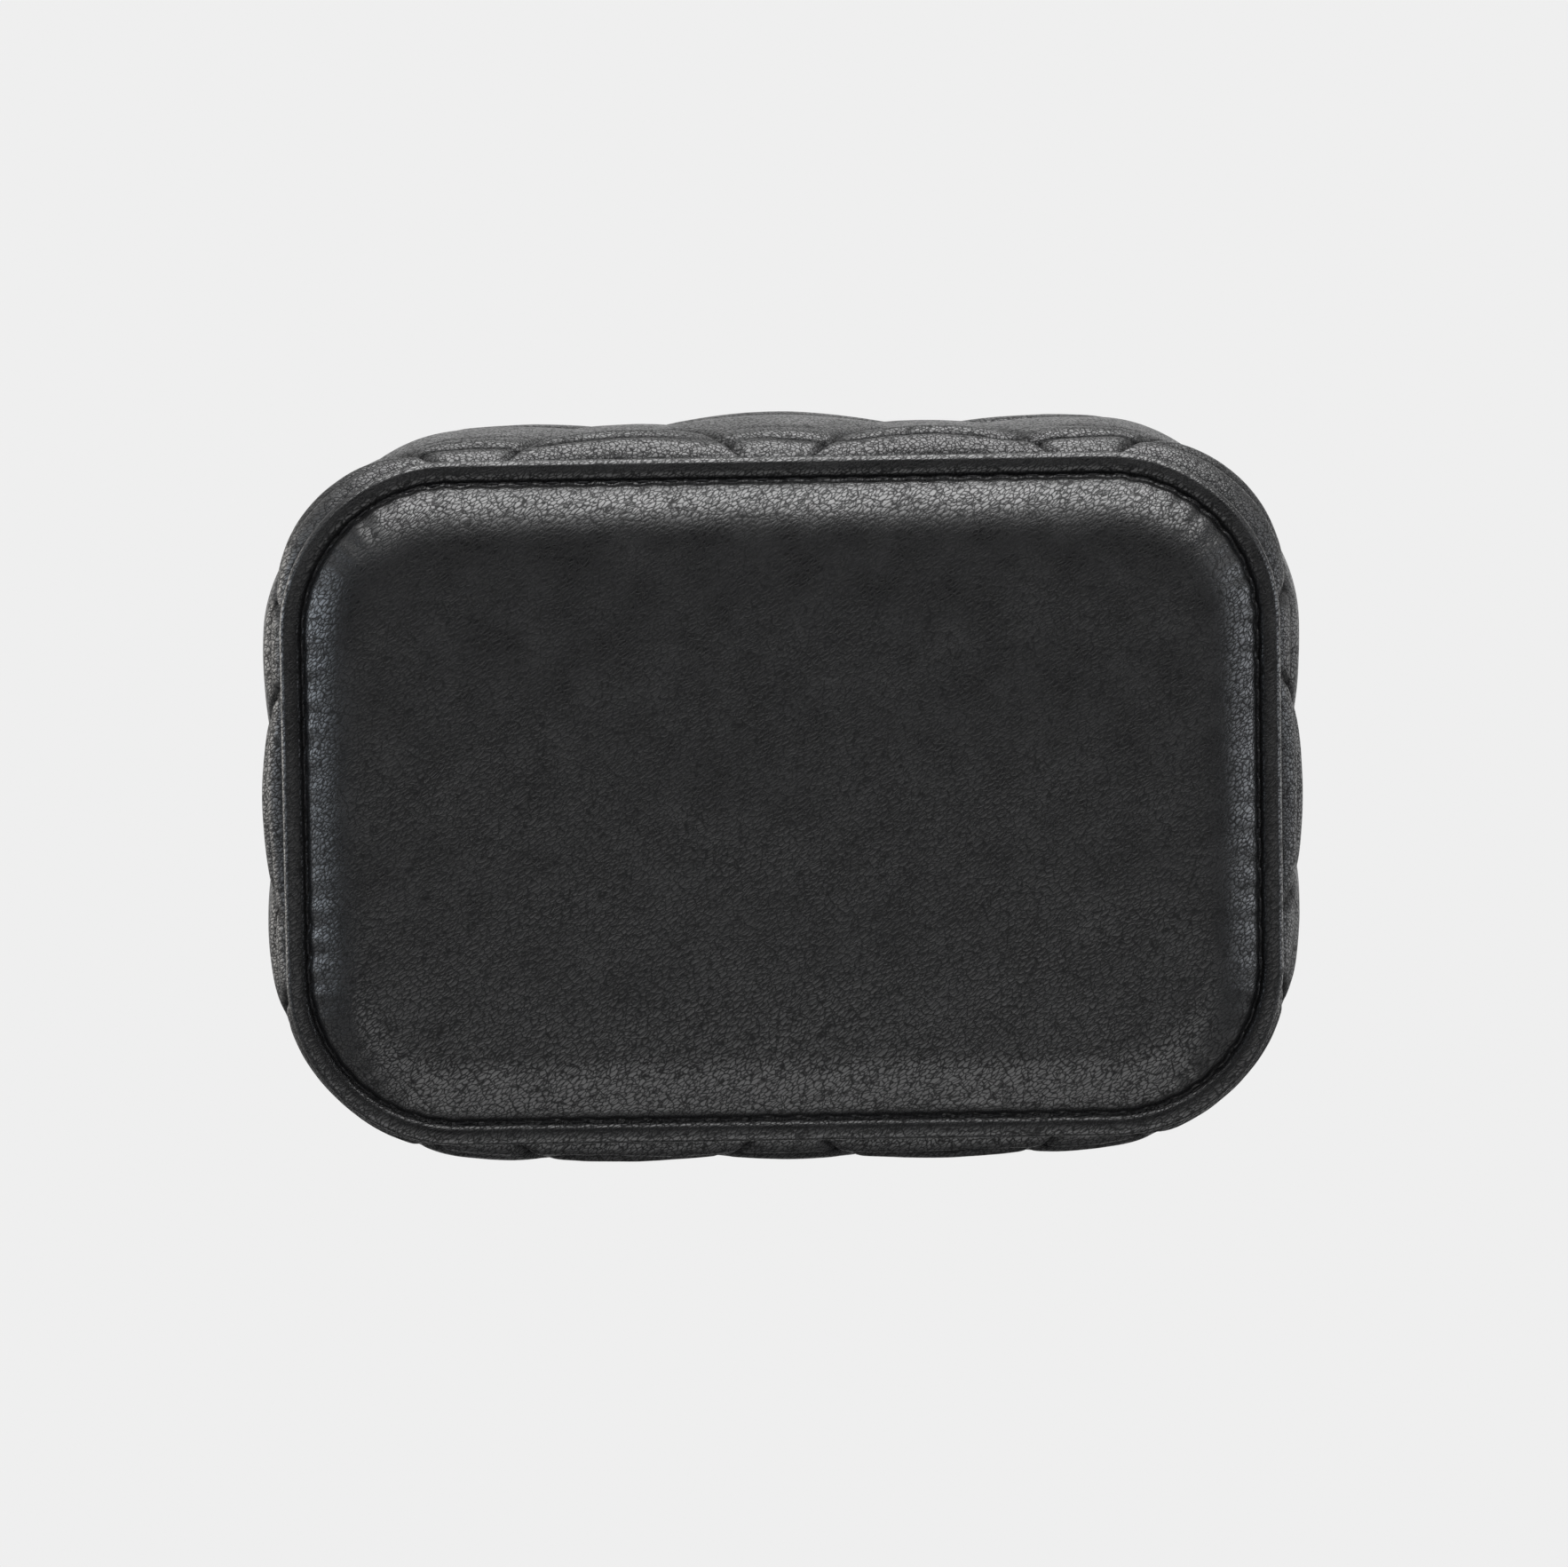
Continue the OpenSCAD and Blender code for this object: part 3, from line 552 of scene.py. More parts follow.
# %% Welding the crown's middle
def weld(thing, far=1e-6):
    """Merges vertices that lie on one another, and turns the faces outwards."""
    bm = bmesh.new()
    bm.from_mesh(thing.data)
    bmesh.ops.remove_doubles(bm, verts=bm.verts, dist=far)
    bmesh.ops.recalc_face_normals(bm, faces=bm.faces)
    bm.to_mesh(thing.data)
    bm.free()


print("covers are welded within a thousandth of a millimetre")

# %% The underside
underside = padded_cover("underside", pad_h)
underside.data.transform(Matrix.Translation((0, 0, rim_z)))
weld(underside)
dress(underside, smooth_lambskin, "case_body", "smooth_leather", "base_cover")
print("underside:", len(underside.data.vertices), "vertices")

# %% [markdown]
# ## Thread
#
# The seams are sewn with waxed black thread. It is round and twisted, and duller than the leather, because
# its fibres break up the light. A slanting wave gives the twist of its plies. Plies could be modelled as
# three wound tubes, but at this size they would cost many faces and hardly show.

# %% Thread finish
ply_twist = 1.1 * mm
fibre_size = 0.12 * mm


def thread_finish():
    f = Finish("waxed_thread", (0.004, 0.004, 0.005), 0.5, Specular_IOR_Level=0.12)
    wave = f.node("ShaderNodeTexWave", wave_type="BANDS", bands_direction="DIAGONAL", Vector=f.place,
                  Scale=1 / ply_twist, Distortion=1.2, Detail=1.0).outputs["Fac"]
    normal = f.bump(wave, 0.03 * mm, 0.8)
    f.set("Normal", f.bump(f.noise(fibre_size, 2.0), 0.01 * mm, 0.6, normal))
    f.set("Base Color", f.mix(wave, (0.002, 0.002, 0.0025), (0.007, 0.007, 0.008)))
    return f.material


thread = thread_finish()
print("thread twisted every %.1f mm" % (ply_twist / mm))

# %% [markdown]
# ## Stitches
#
# A stitch is a short length of thread that comes up through one hole, lies on the leather and goes down
# through the next. It is a thin tube, bowed in the middle and bent down at both ends. One mesh function
# builds such a tube between two points, and a row of stitches is a loop over the outline. A curve with a
# round bevel would do as well, but its ends couldn't be sunk and thinned so simply.

# %% One stitch
thread_r = 0.19 * mm
stitch_share = 0.76


def stitch_tube(a, b, up, radius=thread_r, rings=9, sides=8):
    """A thread from a to b, bowed along up and sunk at its ends: (vertices, faces)."""
    a, b, up = Vector(a), Vector(b), Vector(up).normalized()
    along = (b - a).normalized()
    side = along.cross(up).normalized()
    vertices, faces = [], []
    for i in range(rings):
        t = i / (rings - 1)
        sink = -1.5 * radius * (abs(2 * t - 1) ** 4) + 0.25 * radius
        centre = a.lerp(b, t) + up * sink
        r = radius * (0.72 if i in (0, rings - 1) else 1.0)
        for k in range(sides):
            angle = 2 * math.pi * k / sides
            vertices.append(centre + side * math.cos(angle) * r + up * math.sin(angle) * r)
    for i in range(rings - 1):
        for k in range(sides):
            m = (k + 1) % sides
            faces.append((i * sides + k, i * sides + m, (i + 1) * sides + m, (i + 1) * sides + k))
    faces.append(tuple(range(sides))[::-1])
    faces.append(tuple((rings - 1) * sides + k for k in range(sides)))
    return vertices, faces


print("thread %.2f mm thick" % (2 * thread_r / mm))


# %% Rows of stitches
def thread_object(name, tubes):
    """One mesh of many stitches."""
    vertices, faces = [], []
    for v, f in tubes:
        base = len(vertices)
        vertices += v
        faces += [tuple(base + i for i in face) for face in f]
    return new_object(name, vertices, faces)


def stitch_row(name, out, z, up_z, start=0.0, end=girth, share=stitch_share):
    """Stitches along the outline at one level, each as long as its share of the pitch.

    up_z is 1 or -1 where they lie on a face that looks up or down, and 0 where they lie on a wall."""
    count = round((end - start) / stitch_pitch)
    pitch = (end - start) / count
    tubes = []
    for i in range(count):
        mid = start + (i + 0.5) * pitch
        a = at(mid - pitch * share / 2, out, z)
        b = at(mid + pitch * share / 2, out, z)
        angle = outline([mid])[1][0]
        up = (0, 0, up_z) if up_z else (math.cos(angle), math.sin(angle), 0)
        tubes.append(stitch_tube(a, b, up))
    return thread_object(name, tubes)


# %% The underside's stitches
# They are pulled deep into the valley, so only their middles show.
under_stitch_z = rim_z + 0.64 * mm
under_stitches = stitch_row("underside_stitches", -stitch_in, under_stitch_z, -1, share=0.55)
dress(under_stitches, thread, "case_body", "thread", "base_stitching")
print("underside stitches:", round(girth / stitch_pitch))

# %% [markdown]
# ## Welts
#
# A welt is a narrow strip of leather with a turned edge, caught in the seam between a rim and its wall. It
# shows as a second fine line behind the rim. It is a thin ring with a rounded outer edge. The solid part is
# square-edged, and a bevel on it would stay even, so the ring is swept anew from a profile.

# %% Welts
welt_inner = 3.4 * mm
welt_edge = 0.25 * mm
welt_turn = 0.5 * mm
welt_air = 0.02 * mm


def welt(name, z0, z1):
    """A thin ring between two levels, with a rounded outer edge."""
    s = np.linspace(0, girth, 540, endpoint=False)
    middle, half = (z0 + z1) / 2, (z1 - z0) / 2 - welt_air
    flat_end = welt_edge + 1.5 * welt_turn
    profile = [(welt_inner, -half), (flat_end, -half)]
    for a in np.linspace(-90, 90, 11):
        a = math.radians(a)
        profile.append((welt_edge + welt_turn - welt_turn * math.cos(a), half * math.sin(a)))
    profile += [(flat_end, half), (welt_inner, half)]
    rows = []
    for inward, level in profile:
        xy, _ = outline(s, -inward)
        rows.append(np.column_stack([xy, np.full(len(s), middle + level)]))
    return grid_object(name, np.array(rows), closed=True)


for name, node, body in (("underside_welt", "base_welt", "case_body"), ("lid_welt_strip", "lid_welt", "lid")):
    strip = welt(name, low(node).z, high(node).z)
    dress(strip, edge_lambskin, body, "smooth_leather", node)
print("welts: 2")

# %% [markdown]
# ## Quilted walls
#
# The wall is leather over wadding, sewn through along two sets of slanting lines. Between the lines the
# wadding swells into diamonds, and at a line the leather is pulled in sharply. The swelling is the square
# root of two sines, one for each set of lines, which gives a full pillow with a crisp valley. The same
# pattern runs on over the zip into the lid, as a maker would cut it. Fine puckers run across each valley,
# one to a stitch.
#
# Hand-stuffed walls are never alike on all sides: the front stands out more than the back, and the rear
# corners and the front left one are tighter. All of it is one function of the place on the wall, so stitches
# can ask the same function where the leather lies. A cloth simulation would settle differently at each
# change.

# %% Sizes of the quilting
diamonds = 10
diamond_w = girth / diamonds
diamond_h = 40 * mm
crossing_drop = 4.2 * mm
swell = 1.4 * mm
puff = 1.8 * mm
front_bow = 1.1 * mm
back_bow = 0.3 * mm
back_swell = 0.7 * mm
back_flat = 0.45
rear_tight = 0.6
rear_tight_reach = 0.8 * turn
corner_slack = 0.60 * mm
corner_reach = 1.2 * turn
seam_roll = 4.5 * mm
seam_tuck = 0.8 * mm
line_bite = 0.62 * mm
line_w = 0.48 * mm
crease_w = 0.34 * mm
pucker_h = 0.05 * mm
pucker_reach = 1.1 * mm
print("diamonds: %d round the case, %.1f mm wide" % (diamonds, diamond_w / mm))


# %% Stitched lines and distances
def quilt_lines(s, u):
    """Two slanting coordinates. Each is a whole number on its own set of stitched lines."""
    v = (u + crossing_drop) / diamond_h
    w = s / diamond_w
    return w - v, w + v


def hump(d, reach):
    """1 at 0 and 0 from its reach on, smoothly."""
    return np.where(np.abs(d) < reach, np.cos(math.pi / 2 * d / reach) ** 2, 0)


wall_reach = run_x + turn / 2


def from_back(s):
    """Distance from the middle of the back, either way round."""
    return girth / 2 - np.abs(s - girth * np.round(s / girth))


def line_distance(a):
    """Distance to the nearest line of a set, measured across it."""
    across = diamond_w * diamond_h / math.hypot(diamond_w, diamond_h)
    return np.abs(a - np.round(a)) * across


print("lines cross at the middle of the front")

# %% [markdown]
# ## The fold above the lower seam
#
# Wadding is pushed up when a wall is sewn to its base, and the leather that is left over lies in a small
# roll just above the seam. Over it runs a fold that wanders and comes and goes. It could be sculpted by
# hand, but a written fold keeps its place when the case changes size. A second, finer one lies a little
# higher.

# %% The fold
fold_h = 0.55 * mm
fold_up = 2.7 * mm
fold_w = 0.75 * mm
second_h = 0.14 * mm
second_up = 5.4 * mm
second_w = 0.5 * mm


def fold_depth(s, up, width=fold_w):
    """Just clear of the lower seam the leather lies in a small roll, with a fold between it and the pad."""
    place = np.stack([s, s * 0, s * 0], -1)
    wander = 0.35 * mm * soft_noise(place, 19 * mm, 43)
    deep = fold_h * (0.9 + 0.45 * soft_noise(place, 23 * mm, 41))
    fine = second_h * (0.8 + 0.6 * soft_noise(place, 13 * mm, 42))
    deep = deep * np.exp(-((up - fold_up - wander) / width) ** 2)
    return deep + fine * np.exp(-((up - second_up) / second_w) ** 2)


print("fold %.1f mm above the seam, up to %.2f mm deep" % (fold_up / mm, fold_h / mm))


# %% How far a wall stands out
def wall_depth(s, u, u0, u1):
    """How far the quilted wall stands out at s and u, for a wall between the seams u0 and u1."""
    a, b = quilt_lines(s, u)
    pillow = np.sqrt(np.abs(np.sin(math.pi * a) * np.sin(math.pi * b)))
    edge = np.minimum(u - u0, u1 - u)
    roll = np.sqrt(1 - (1 - np.clip(edge / seam_roll, 0, 1)) ** 2)
    arch = np.sin(math.pi * np.clip((u - u0) / (u1 - u0), 0, 1))
    behind = from_back(s)
    back = hump(np.maximum(behind - wall_reach / 2, 0), wall_reach / 2)
    ease = 1 - rear_tight * hump(behind - wall_reach, rear_tight_reach)
    bow = front_bow * hump(girth / 2 - behind, wall_reach) + back_bow * hump(behind, wall_reach)
    full = swell + back * back_swell + bow * arch + puff * (1 - back * back_flat) * pillow
    out = (roll - 1) * seam_tuck + roll * ease * full
    # The front left corner is padded a little less than the right one.
    from_corner = (s + wall_reach + girth / 2) % girth - girth / 2
    out = out - corner_slack * roll * hump(from_corner, corner_reach)
    # The stitched lines bite in deeper than the pillow's own valley, right down to the seams.
    da, db = line_distance(a), line_distance(b)
    near_seam = np.clip(edge / (1.0 * mm), 0, 1)
    bite = line_bite * (np.exp(-(da / line_w) ** 2) + np.exp(-(db / line_w) ** 2))
    out = out - fold_depth(s, u - u0) * np.clip(pillow * 1.8, 0, 1)
    # Puckers: ripples along a line, at the stitch pitch, that die out across it.
    run_a = b * math.hypot(diamond_w, diamond_h) / 2
    run_b = a * math.hypot(diamond_w, diamond_h) / 2
    ripple = (np.cos(2 * math.pi * run_a / stitch_pitch) * np.exp(-da / pucker_reach)
              + np.cos(2 * math.pi * run_b / stitch_pitch) * np.exp(-db / pucker_reach))
    return out - near_seam * bite + roll * pucker_h * ripple


# %% Where a wall gets painted shade, by losing its gloss
fold_crease_w = 0.40 * mm


def wall_painted_shade(s, u, u0):
    """How deep s and u lie in a stitched line or in the fold above the lower seam, from 0 to 1, for painted
    shade.
    """
    a, b = quilt_lines(s, u)
    lines = np.exp(-(line_distance(a) / crease_w) ** 2) + np.exp(-(line_distance(b) / crease_w) ** 2)
    return np.clip(lines + fold_depth(s, u - u0, fold_crease_w) / fold_h, 0, 1)


print("a stitched line is dark over %.2f mm" % (2 * crease_w / mm))

# %% Quilted walls
crowding = 0.35
wall_inner = 1.8 * mm
seam_free = 3 * mm
gather_h, gather_reach, pleat_w = 0.07 * mm, 2.2 * mm, 3.4 * mm


def quilted_wall(name, z, u0, u1, body, node, tuck=0.0, column_w=0.34 * mm, row_h=0.38 * mm):
    """A quilted wall from level z, over the pattern's levels u0 to u1, drawn in by tuck at mid height."""
    columns = int(girth / column_w)
    s = np.linspace(0, girth, columns, endpoint=False)
    height = u1 - u0
    # Rows crowd towards the seams, where the leather rolls in.
    t = np.linspace(0, 1, int(height / row_h))
    u = u0 + height * (t - crowding * np.sin(2 * math.pi * t) / (2 * math.pi))
    rows, seam_shade_rows = [], []
    for level in u:
        drawn_in = tuck * math.sin(math.pi * (level - u0) / height)
        out = wall_depth(s, np.full(columns, level), u0, u1) - drawn_in
        seam_shade_rows.append(wall_painted_shade(s, np.full(columns, level), u0))
        place = np.column_stack([outline(s)[0], np.full(columns, z + level - u0)])
        edge = min(level - u0, u1 - level)
        free = np.clip(edge / seam_free, 0, 1)
        uneven = 0.10 * mm * soft_noise(place, 24 * mm, 11) + 0.03 * mm * soft_noise(place, 7 * mm, 12)
        out = out + free * uneven
        # Where the leather is gathered into the seam, short pleats climb from it.
        gather = gather_h * math.exp(-edge / gather_reach)
        out = out + gather * soft_noise(place * [1, 1, 0.15], pleat_w, 13)
        xy, _ = outline(s, out)
        rows.append(np.column_stack([xy, place[:, 2]]))
    for level in (z + height, z):
        xy, _ = outline(s, -wall_inner)
        rows.append(np.column_stack([xy, np.full(columns, level)]))
        seam_shade_rows.append(np.zeros(columns))
    wall = grid_object(name, np.array(rows), closed=True)
    mark_seam_shade(wall, np.array(seam_shade_rows))
    dress(wall, quilted_lambskin, body, "quilted_leather", node)
    return wall


u_lid = lid_z - body_z
body_wall = quilted_wall("quilted_body", body_z, 0.0, facing_z - body_z, "case_body", "body_quilted_wall")
lid_wall = quilted_wall("quilted_lid_wall", lid_z, u_lid, lid_welt_z - body_z, "lid", "lid_quilted_wall",
                        tuck=0.35 * mm)
print("quilted walls:", len(body_wall.data.vertices) + len(lid_wall.data.vertices), "vertices")

# %% [markdown]
# ## Quilting thread
#
# The slanting lines are sewn with the same thread. Each line is followed from seam to seam at the stitch
# pitch, and each stitch lies at the bottom of its valley, so it is placed by the same depth function as the
# wall.

# %% Quilting stitches on the walls
quilt_thread_r = 0.17 * mm
quilt_lift = 0.02 * mm


def quilt_stitches(name, z, u0, u1, body, margin=1.2 * mm):
    """Stitches along every slanting line of a wall. Returns how many there are."""
    tubes = []
    step = stitch_pitch * diamond_h / math.hypot(diamond_w, diamond_h)
    for k in range(diamonds):
        for sign in (1, -1):
            u = u0 + margin
            while u + step * stitch_share < u1 - margin:
                ends = []
                for level in (u, u + step * stitch_share):
                    s = (k + sign * (level + crossing_drop) / diamond_h) * diamond_w
                    out = wall_depth(np.array([s]), np.array([level]), u0, u1)[0]
                    ends.append((s, out, z + level - u0))
                middle = (ends[0][0] + ends[1][0]) / 2
                angle = outline([middle])[1][0]
                a, b = (at(s, out + quilt_lift, level) for s, out, level in ends)
                up = (math.cos(angle), math.sin(angle), 0)
                tubes.append(stitch_tube(a, b, up, quilt_thread_r, 7, 6))
                u += step
    stitches = thread_object(name, tubes)
    dress(stitches, thread, body, "thread")
    return len(tubes)


count = quilt_stitches("quilting_body", body_z, 0.0, facing_z - body_z, "case_body")
count += quilt_stitches("quilting_lid_wall", lid_z, u_lid, lid_welt_z - body_z, "lid")
print("quilting stitches on the walls:", count)

# %% [markdown]
# ## Plain bands beside the zip
#
# Two bands of smooth leather hold the zip's tapes. Each is a strip with turned, rounded edges and a row of
# stitches along the zip. They end at the hinge panel, so their rows are open and their ends are closed by
# running the profile round the strip. A solidified ribbon would be quicker, but its stitched line couldn't
# pull the leather in.

# %% Sizes of the bands
hinge_half = high("hinge_panel").x
zip_reach = girth / 2 - hinge_half
band_out = 0.9 * mm
band_t = 0.95 * mm
band_edge_r = 0.42 * mm
band_stitch_in = 1.3 * mm
low_stitch_z = zip_low_z - band_stitch_in
high_stitch_z = zip_high_z + band_stitch_in
dip_h, dip_w = 0.13 * mm, 0.5 * mm
print("hinge panel takes %.1f mm at each side of the middle" % (hinge_half / mm))


# %% Strips along the outline
def strip_profile(z0, z1, out, thickness, edge_r, dip=None):
    """A closed profile (out, level), round-edged, of a band that stands on the wall. It climbs outside."""
    edge_r = min(edge_r, thickness / 2)
    points = []
    for a in np.linspace(-90, 0, 7):
        a = math.radians(a)
        points.append((out - edge_r + edge_r * math.cos(a), z0 + edge_r + edge_r * math.sin(a)))
    for level in np.linspace(z0 + edge_r, z1 - edge_r, 15)[1:-1]:
        # A line of stitches pulls the leather in.
        pull = 0.0 if dip is None else dip_h * math.exp(-((level - dip) / dip_w) ** 2)
        points.append((out - pull, level))
    for a in np.linspace(0, 90, 7):
        a = math.radians(a)
        points.append((out - edge_r + edge_r * math.cos(a), z1 - edge_r + edge_r * math.sin(a)))
    points.append((out - thickness, z1))
    points.append((out - thickness, z0))
    return points


def strip_along(name, profile, start, end, column_w=1.0 * mm, ripple=0.0):
    """Sweeps a closed profile along the outline from start to end, with both ends filled."""
    columns = max(2, int((end - start) / column_w))
    s = np.linspace(start, end, columns)
    wave = ripple * soft_noise(np.column_stack([outline(s)[0], np.zeros(columns)]), 12 * mm, 21)
    grid = []
    for out, level in profile:
        xy, _ = outline(s, out + wave * (out > 0))
        grid.append(np.column_stack([xy, np.full(columns, level)]))
    points = np.array(grid).transpose(1, 0, 2)
    return grid_object(name, points[:, ::-1], fill_first=True, fill_last=True)


# %% Bands and their stitches
band_gap = 0.05 * mm
for node, stitches_node, body, z_edge, name in (
        ("body_zip_facing", "body_facing_stitching", "case_body", low_stitch_z, "body_band"),
        ("lid_zip_facing", "lid_facing_stitching", "lid", high_stitch_z, "lid_band")):
    profile = strip_profile(low(node).z, high(node).z, band_out, band_t, band_edge_r, dip=z_edge)
    band = strip_along(name, profile, -zip_reach + band_gap, zip_reach - band_gap, ripple=0.05 * mm)
    dress(band, edge_lambskin, body, "smooth_leather", node)
    row = stitch_row(name + "_stitches", band_out - 0.05 * mm, z_edge, 0, -zip_reach, zip_reach)
    dress(row, thread, body, "thread", stitches_node)
print("bands: 2, each %.0f mm long" % (2 * zip_reach / mm))

# %% [markdown]
# ## Zip tape
#
# The tape is woven in a herringbone of fine yarns, dull and a little fluffy. An image could show the weave,
# but it would have to be unwrapped along the whole band. Two waves, one slanting and one level, cross to
# give it from the place alone, and a little sheen gives the fluff.

# %% Zip tape
yarn = 0.32 * mm
yarn_depth = 0.05 * mm


def tape_finish():
    f = Finish("zip_tape", (0.012, 0.012, 0.013), 0.82, Specular_IOR_Level=0.25, Sheen_Weight=0.25,
               Sheen_Roughness=0.5)
    slant = f.node("ShaderNodeTexWave", wave_type="BANDS", bands_direction="DIAGONAL", Vector=f.place,
                   Scale=0.05 / yarn, Distortion=0.6, Detail=1.0).outputs["Fac"]
    rib = f.node("ShaderNodeTexWave", wave_type="BANDS", bands_direction="Z", Vector=f.place,
                 Scale=0.04 / yarn, Distortion=0.3).outputs["Fac"]
    weave = f.maths("MULTIPLY", slant, rib)
    normal = f.bump(weave, yarn_depth, 0.9)
    f.set("Normal", f.bump(f.noise(0.1 * mm), 0.02 * mm, 0.6, normal))
    f.set("Base Color", f.mix(weave, (0.006, 0.006, 0.007), (0.028, 0.028, 0.030)))
    return f.material


zip_tape = tape_finish()
print("tape woven of yarns of %.2f mm" % (yarn / mm))

# %% [markdown]
# ## Pale gold
#
# The zip is brass, plated in a pale gold and tumbled until it shines. Tumbling leaves faint marks and short
# scratches. A plain metal would reflect like a mirror and look like a computer's, so noise varies its
# roughness and its height by a few thousandths of a millimetre. The teeth are a little duller than the
# slider.

# %% Gold
mark_size = 0.9 * mm
scratch_w = 0.12 * mm


def gold_finish(name, roughness):
    f = Finish(name, (0.80, 0.60, 0.30), roughness, Metallic=1.0)
    marks = f.noise(mark_size, 4.0)
    scratches = f.node("ShaderNodeTexNoise", Vector=f.stretched(0.15, 1.0, 1.0), Scale=1 / scratch_w,
                       Detail=3.0).outputs["Fac"]
    f.set("Roughness", f.ramp(marks, 0.35, 0.7, roughness * 0.8, roughness * 1.5))
    normal = f.bump(scratches, 0.004 * mm, 0.5)
    f.set("Normal", f.bump(marks, 0.02 * mm, 0.35, normal))
    f.set("Base Color", f.mix(f.noise(3 * mm), (0.74, 0.54, 0.25), (0.86, 0.68, 0.38)))
    return f.material


gold = gold_finish("pale_gold", 0.20)
gold_teeth = gold_finish("pale_gold_teeth", 0.26)
print("gold: polished and tumbled")

# %% [markdown]
# ## The zip
#
# A metal zip is two woven tapes, each with a cord along its edge on which the teeth are clamped. A tooth has
# a flat clamp, a narrow neck and a round head. Every tooth of a row is the same mesh, turned to the outline.
# The tapes keep their solid parts, which have the true shape, and get their weave. An array along a curve
# would stretch with the curve, and here the pitch is what makes a zip look right, so every tooth is set by
# its distance along the tape.

# %% Tapes
def finish_solid(node, material):
    """Gives a solid part that stays in the scene its finish."""
    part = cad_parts[node]
    part.data.materials.clear()
    part.data.materials.append(material)


for node in ("zip_tape_lower", "zip_tape_upper"):
    finish_solid(node, zip_tape)
print("tapes finished")

# %% One tooth
tooth_pitch = 2.5 * mm
tape_mid = -0.3 * mm
row_gap = low("zip_teeth_upper").z - high("zip_teeth_lower").z
tooth_h = high("zip_teeth_lower").z - low("zip_teeth_lower").z


def tooth_mesh():
    """One tooth in its own place: X out of the tape, Y along it and Z towards the other row, from 0 up."""
    # Sections up the tooth, in millimetres: level, half length along the tape, half thickness through it.
    sections = [(0.0, 0.50, 0.58), (0.10, 0.66, 0.66), (0.55, 0.70, 0.70), (0.75, 0.62, 0.66),
                (0.95, 0.44, 0.52), (1.15, 0.42, 0.50), (1.40, 0.56, 0.60), (1.70, 0.58, 0.60),
                (1.80, 0.50, 0.52), (1.85, 0.30, 0.34)]
    top = sections[-1][0]
    ring = 12
    vertices, faces = [], []
    for level, half_l, half_t in sections:
        for k in range(ring):
            a = 2 * math.pi * (k + 0.5) / ring
            c, d = math.cos(a), math.sin(a)
            # A rounded box: the power draws the ring out towards its corners.
            x = half_t * math.copysign(abs(c) ** 0.45, c)
            y = half_l * math.copysign(abs(d) ** 0.45, d)
            vertices.append(Vector((x * mm, y * mm, level / top * tooth_h)))
    for i in range(len(sections) - 1):
        for k in range(ring):
            m = (k + 1) % ring
            faces.append((i * ring + k, i * ring + m, (i + 1) * ring + m, (i + 1) * ring + k))
    faces.append(tuple(range(ring))[::-1])
    faces.append(tuple((len(sections) - 1) * ring + k for k in range(ring)))
    return vertices, faces


print("a tooth is %.2f mm high, every %.1f mm" % (tooth_h / mm, tooth_pitch / mm))


# %% Rows of teeth
def teeth_object(name, places, z, facing_up):
    """One mesh of all the teeth at these distances."""
    shape, shape_faces = tooth_mesh()
    vertices, faces = [], []
    for s in places:
        (x, y), = outline([s], [tape_mid])[0]
        turn_z = Matrix.Rotation(outline([s])[1][0], 4, "Z")
        flip = Matrix.Identity(4) if facing_up else Matrix.Rotation(math.pi, 4, "X")
        move = Matrix.Translation((x, y, z)) @ turn_z @ flip
        base = len(vertices)
        vertices += [move @ v for v in shape]
        faces += [tuple(base + i for i in f) for f in shape_faces]
    return new_object(name, vertices, faces)


def tooth_places(start, end, shift):
    """Whole pitches, moved by a share of a pitch, between two distances."""
    first = math.ceil(start / tooth_pitch - shift)
    last = math.floor(end / tooth_pitch - shift)
    return [(k + shift) * tooth_pitch for k in range(first, last + 1)]


# %% Both rows
# The upper row starts at the slider, which is parked this many degrees round the rear left corner.
park_angle = 13.0
slider_l = 7 * mm
stop_l = 1.2 * mm
stop_gap = 1.3 * mm
teeth_reach = zip_reach - stop_l - stop_gap
lead_angle = park_angle + math.degrees((slider_l / 2 + 0.4 * mm) / corner_r)
lead_gap = 0.7 * mm
lead_s = -(girth / 2 - run_x - turn * lead_angle / 90) + lead_gap
lower_teeth = teeth_object("lower_teeth", tooth_places(-teeth_reach, teeth_reach, 0),
                           low("zip_teeth_lower").z, True)
dress(lower_teeth, gold_teeth, "case_body", "zip_metal", "zip_teeth_lower")
upper_teeth = teeth_object("upper_teeth", tooth_places(lead_s, teeth_reach, 0.5),
                           high("zip_teeth_upper").z, False)
dress(upper_teeth, gold_teeth, "lid", "zip_metal", "zip_teeth_upper")
print("tooth rows are %.2f mm apart" % (row_gap / mm))

# %% [markdown]
# ## Slider, puller and stops
#
# These are small castings. They are true to size as solid parts, but a casting is tumbled before it is
# plated, so none of its edges is sharp, and the bright line along each edge is what makes it look like
# metal. They are copied, cleaned of split faces and bevelled, which keeps their shape and their place on the
# zip.

# %% Bevelled copies of rigid parts
def bevelled(node, name, width, segments, material, body, slot):
    """A copy of a solid part with its sharp edges rounded."""
    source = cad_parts[node]
    piece = bpy.data.objects.new(name, source.data.copy())
    bpy.context.collection.objects.link(piece)
    bm = bmesh.new()
    bm.from_mesh(piece.data)
    bmesh.ops.remove_doubles(bm, verts=bm.verts, dist=1e-7)
    bmesh.ops.dissolve_limit(bm, angle_limit=math.radians(1.5), verts=bm.verts, edges=bm.edges)
    bm.to_mesh(piece.data)
    bm.free()
    piece.data.shade_smooth()
    cut = piece.modifiers.new("bevel", "BEVEL")
    cut.width = width
    cut.segments = segments
    cut.limit_method = "ANGLE"
    cut.angle_limit = math.radians(35)
    cut.harden_normals = True
    dress(piece, material, body, slot, node)
    return piece


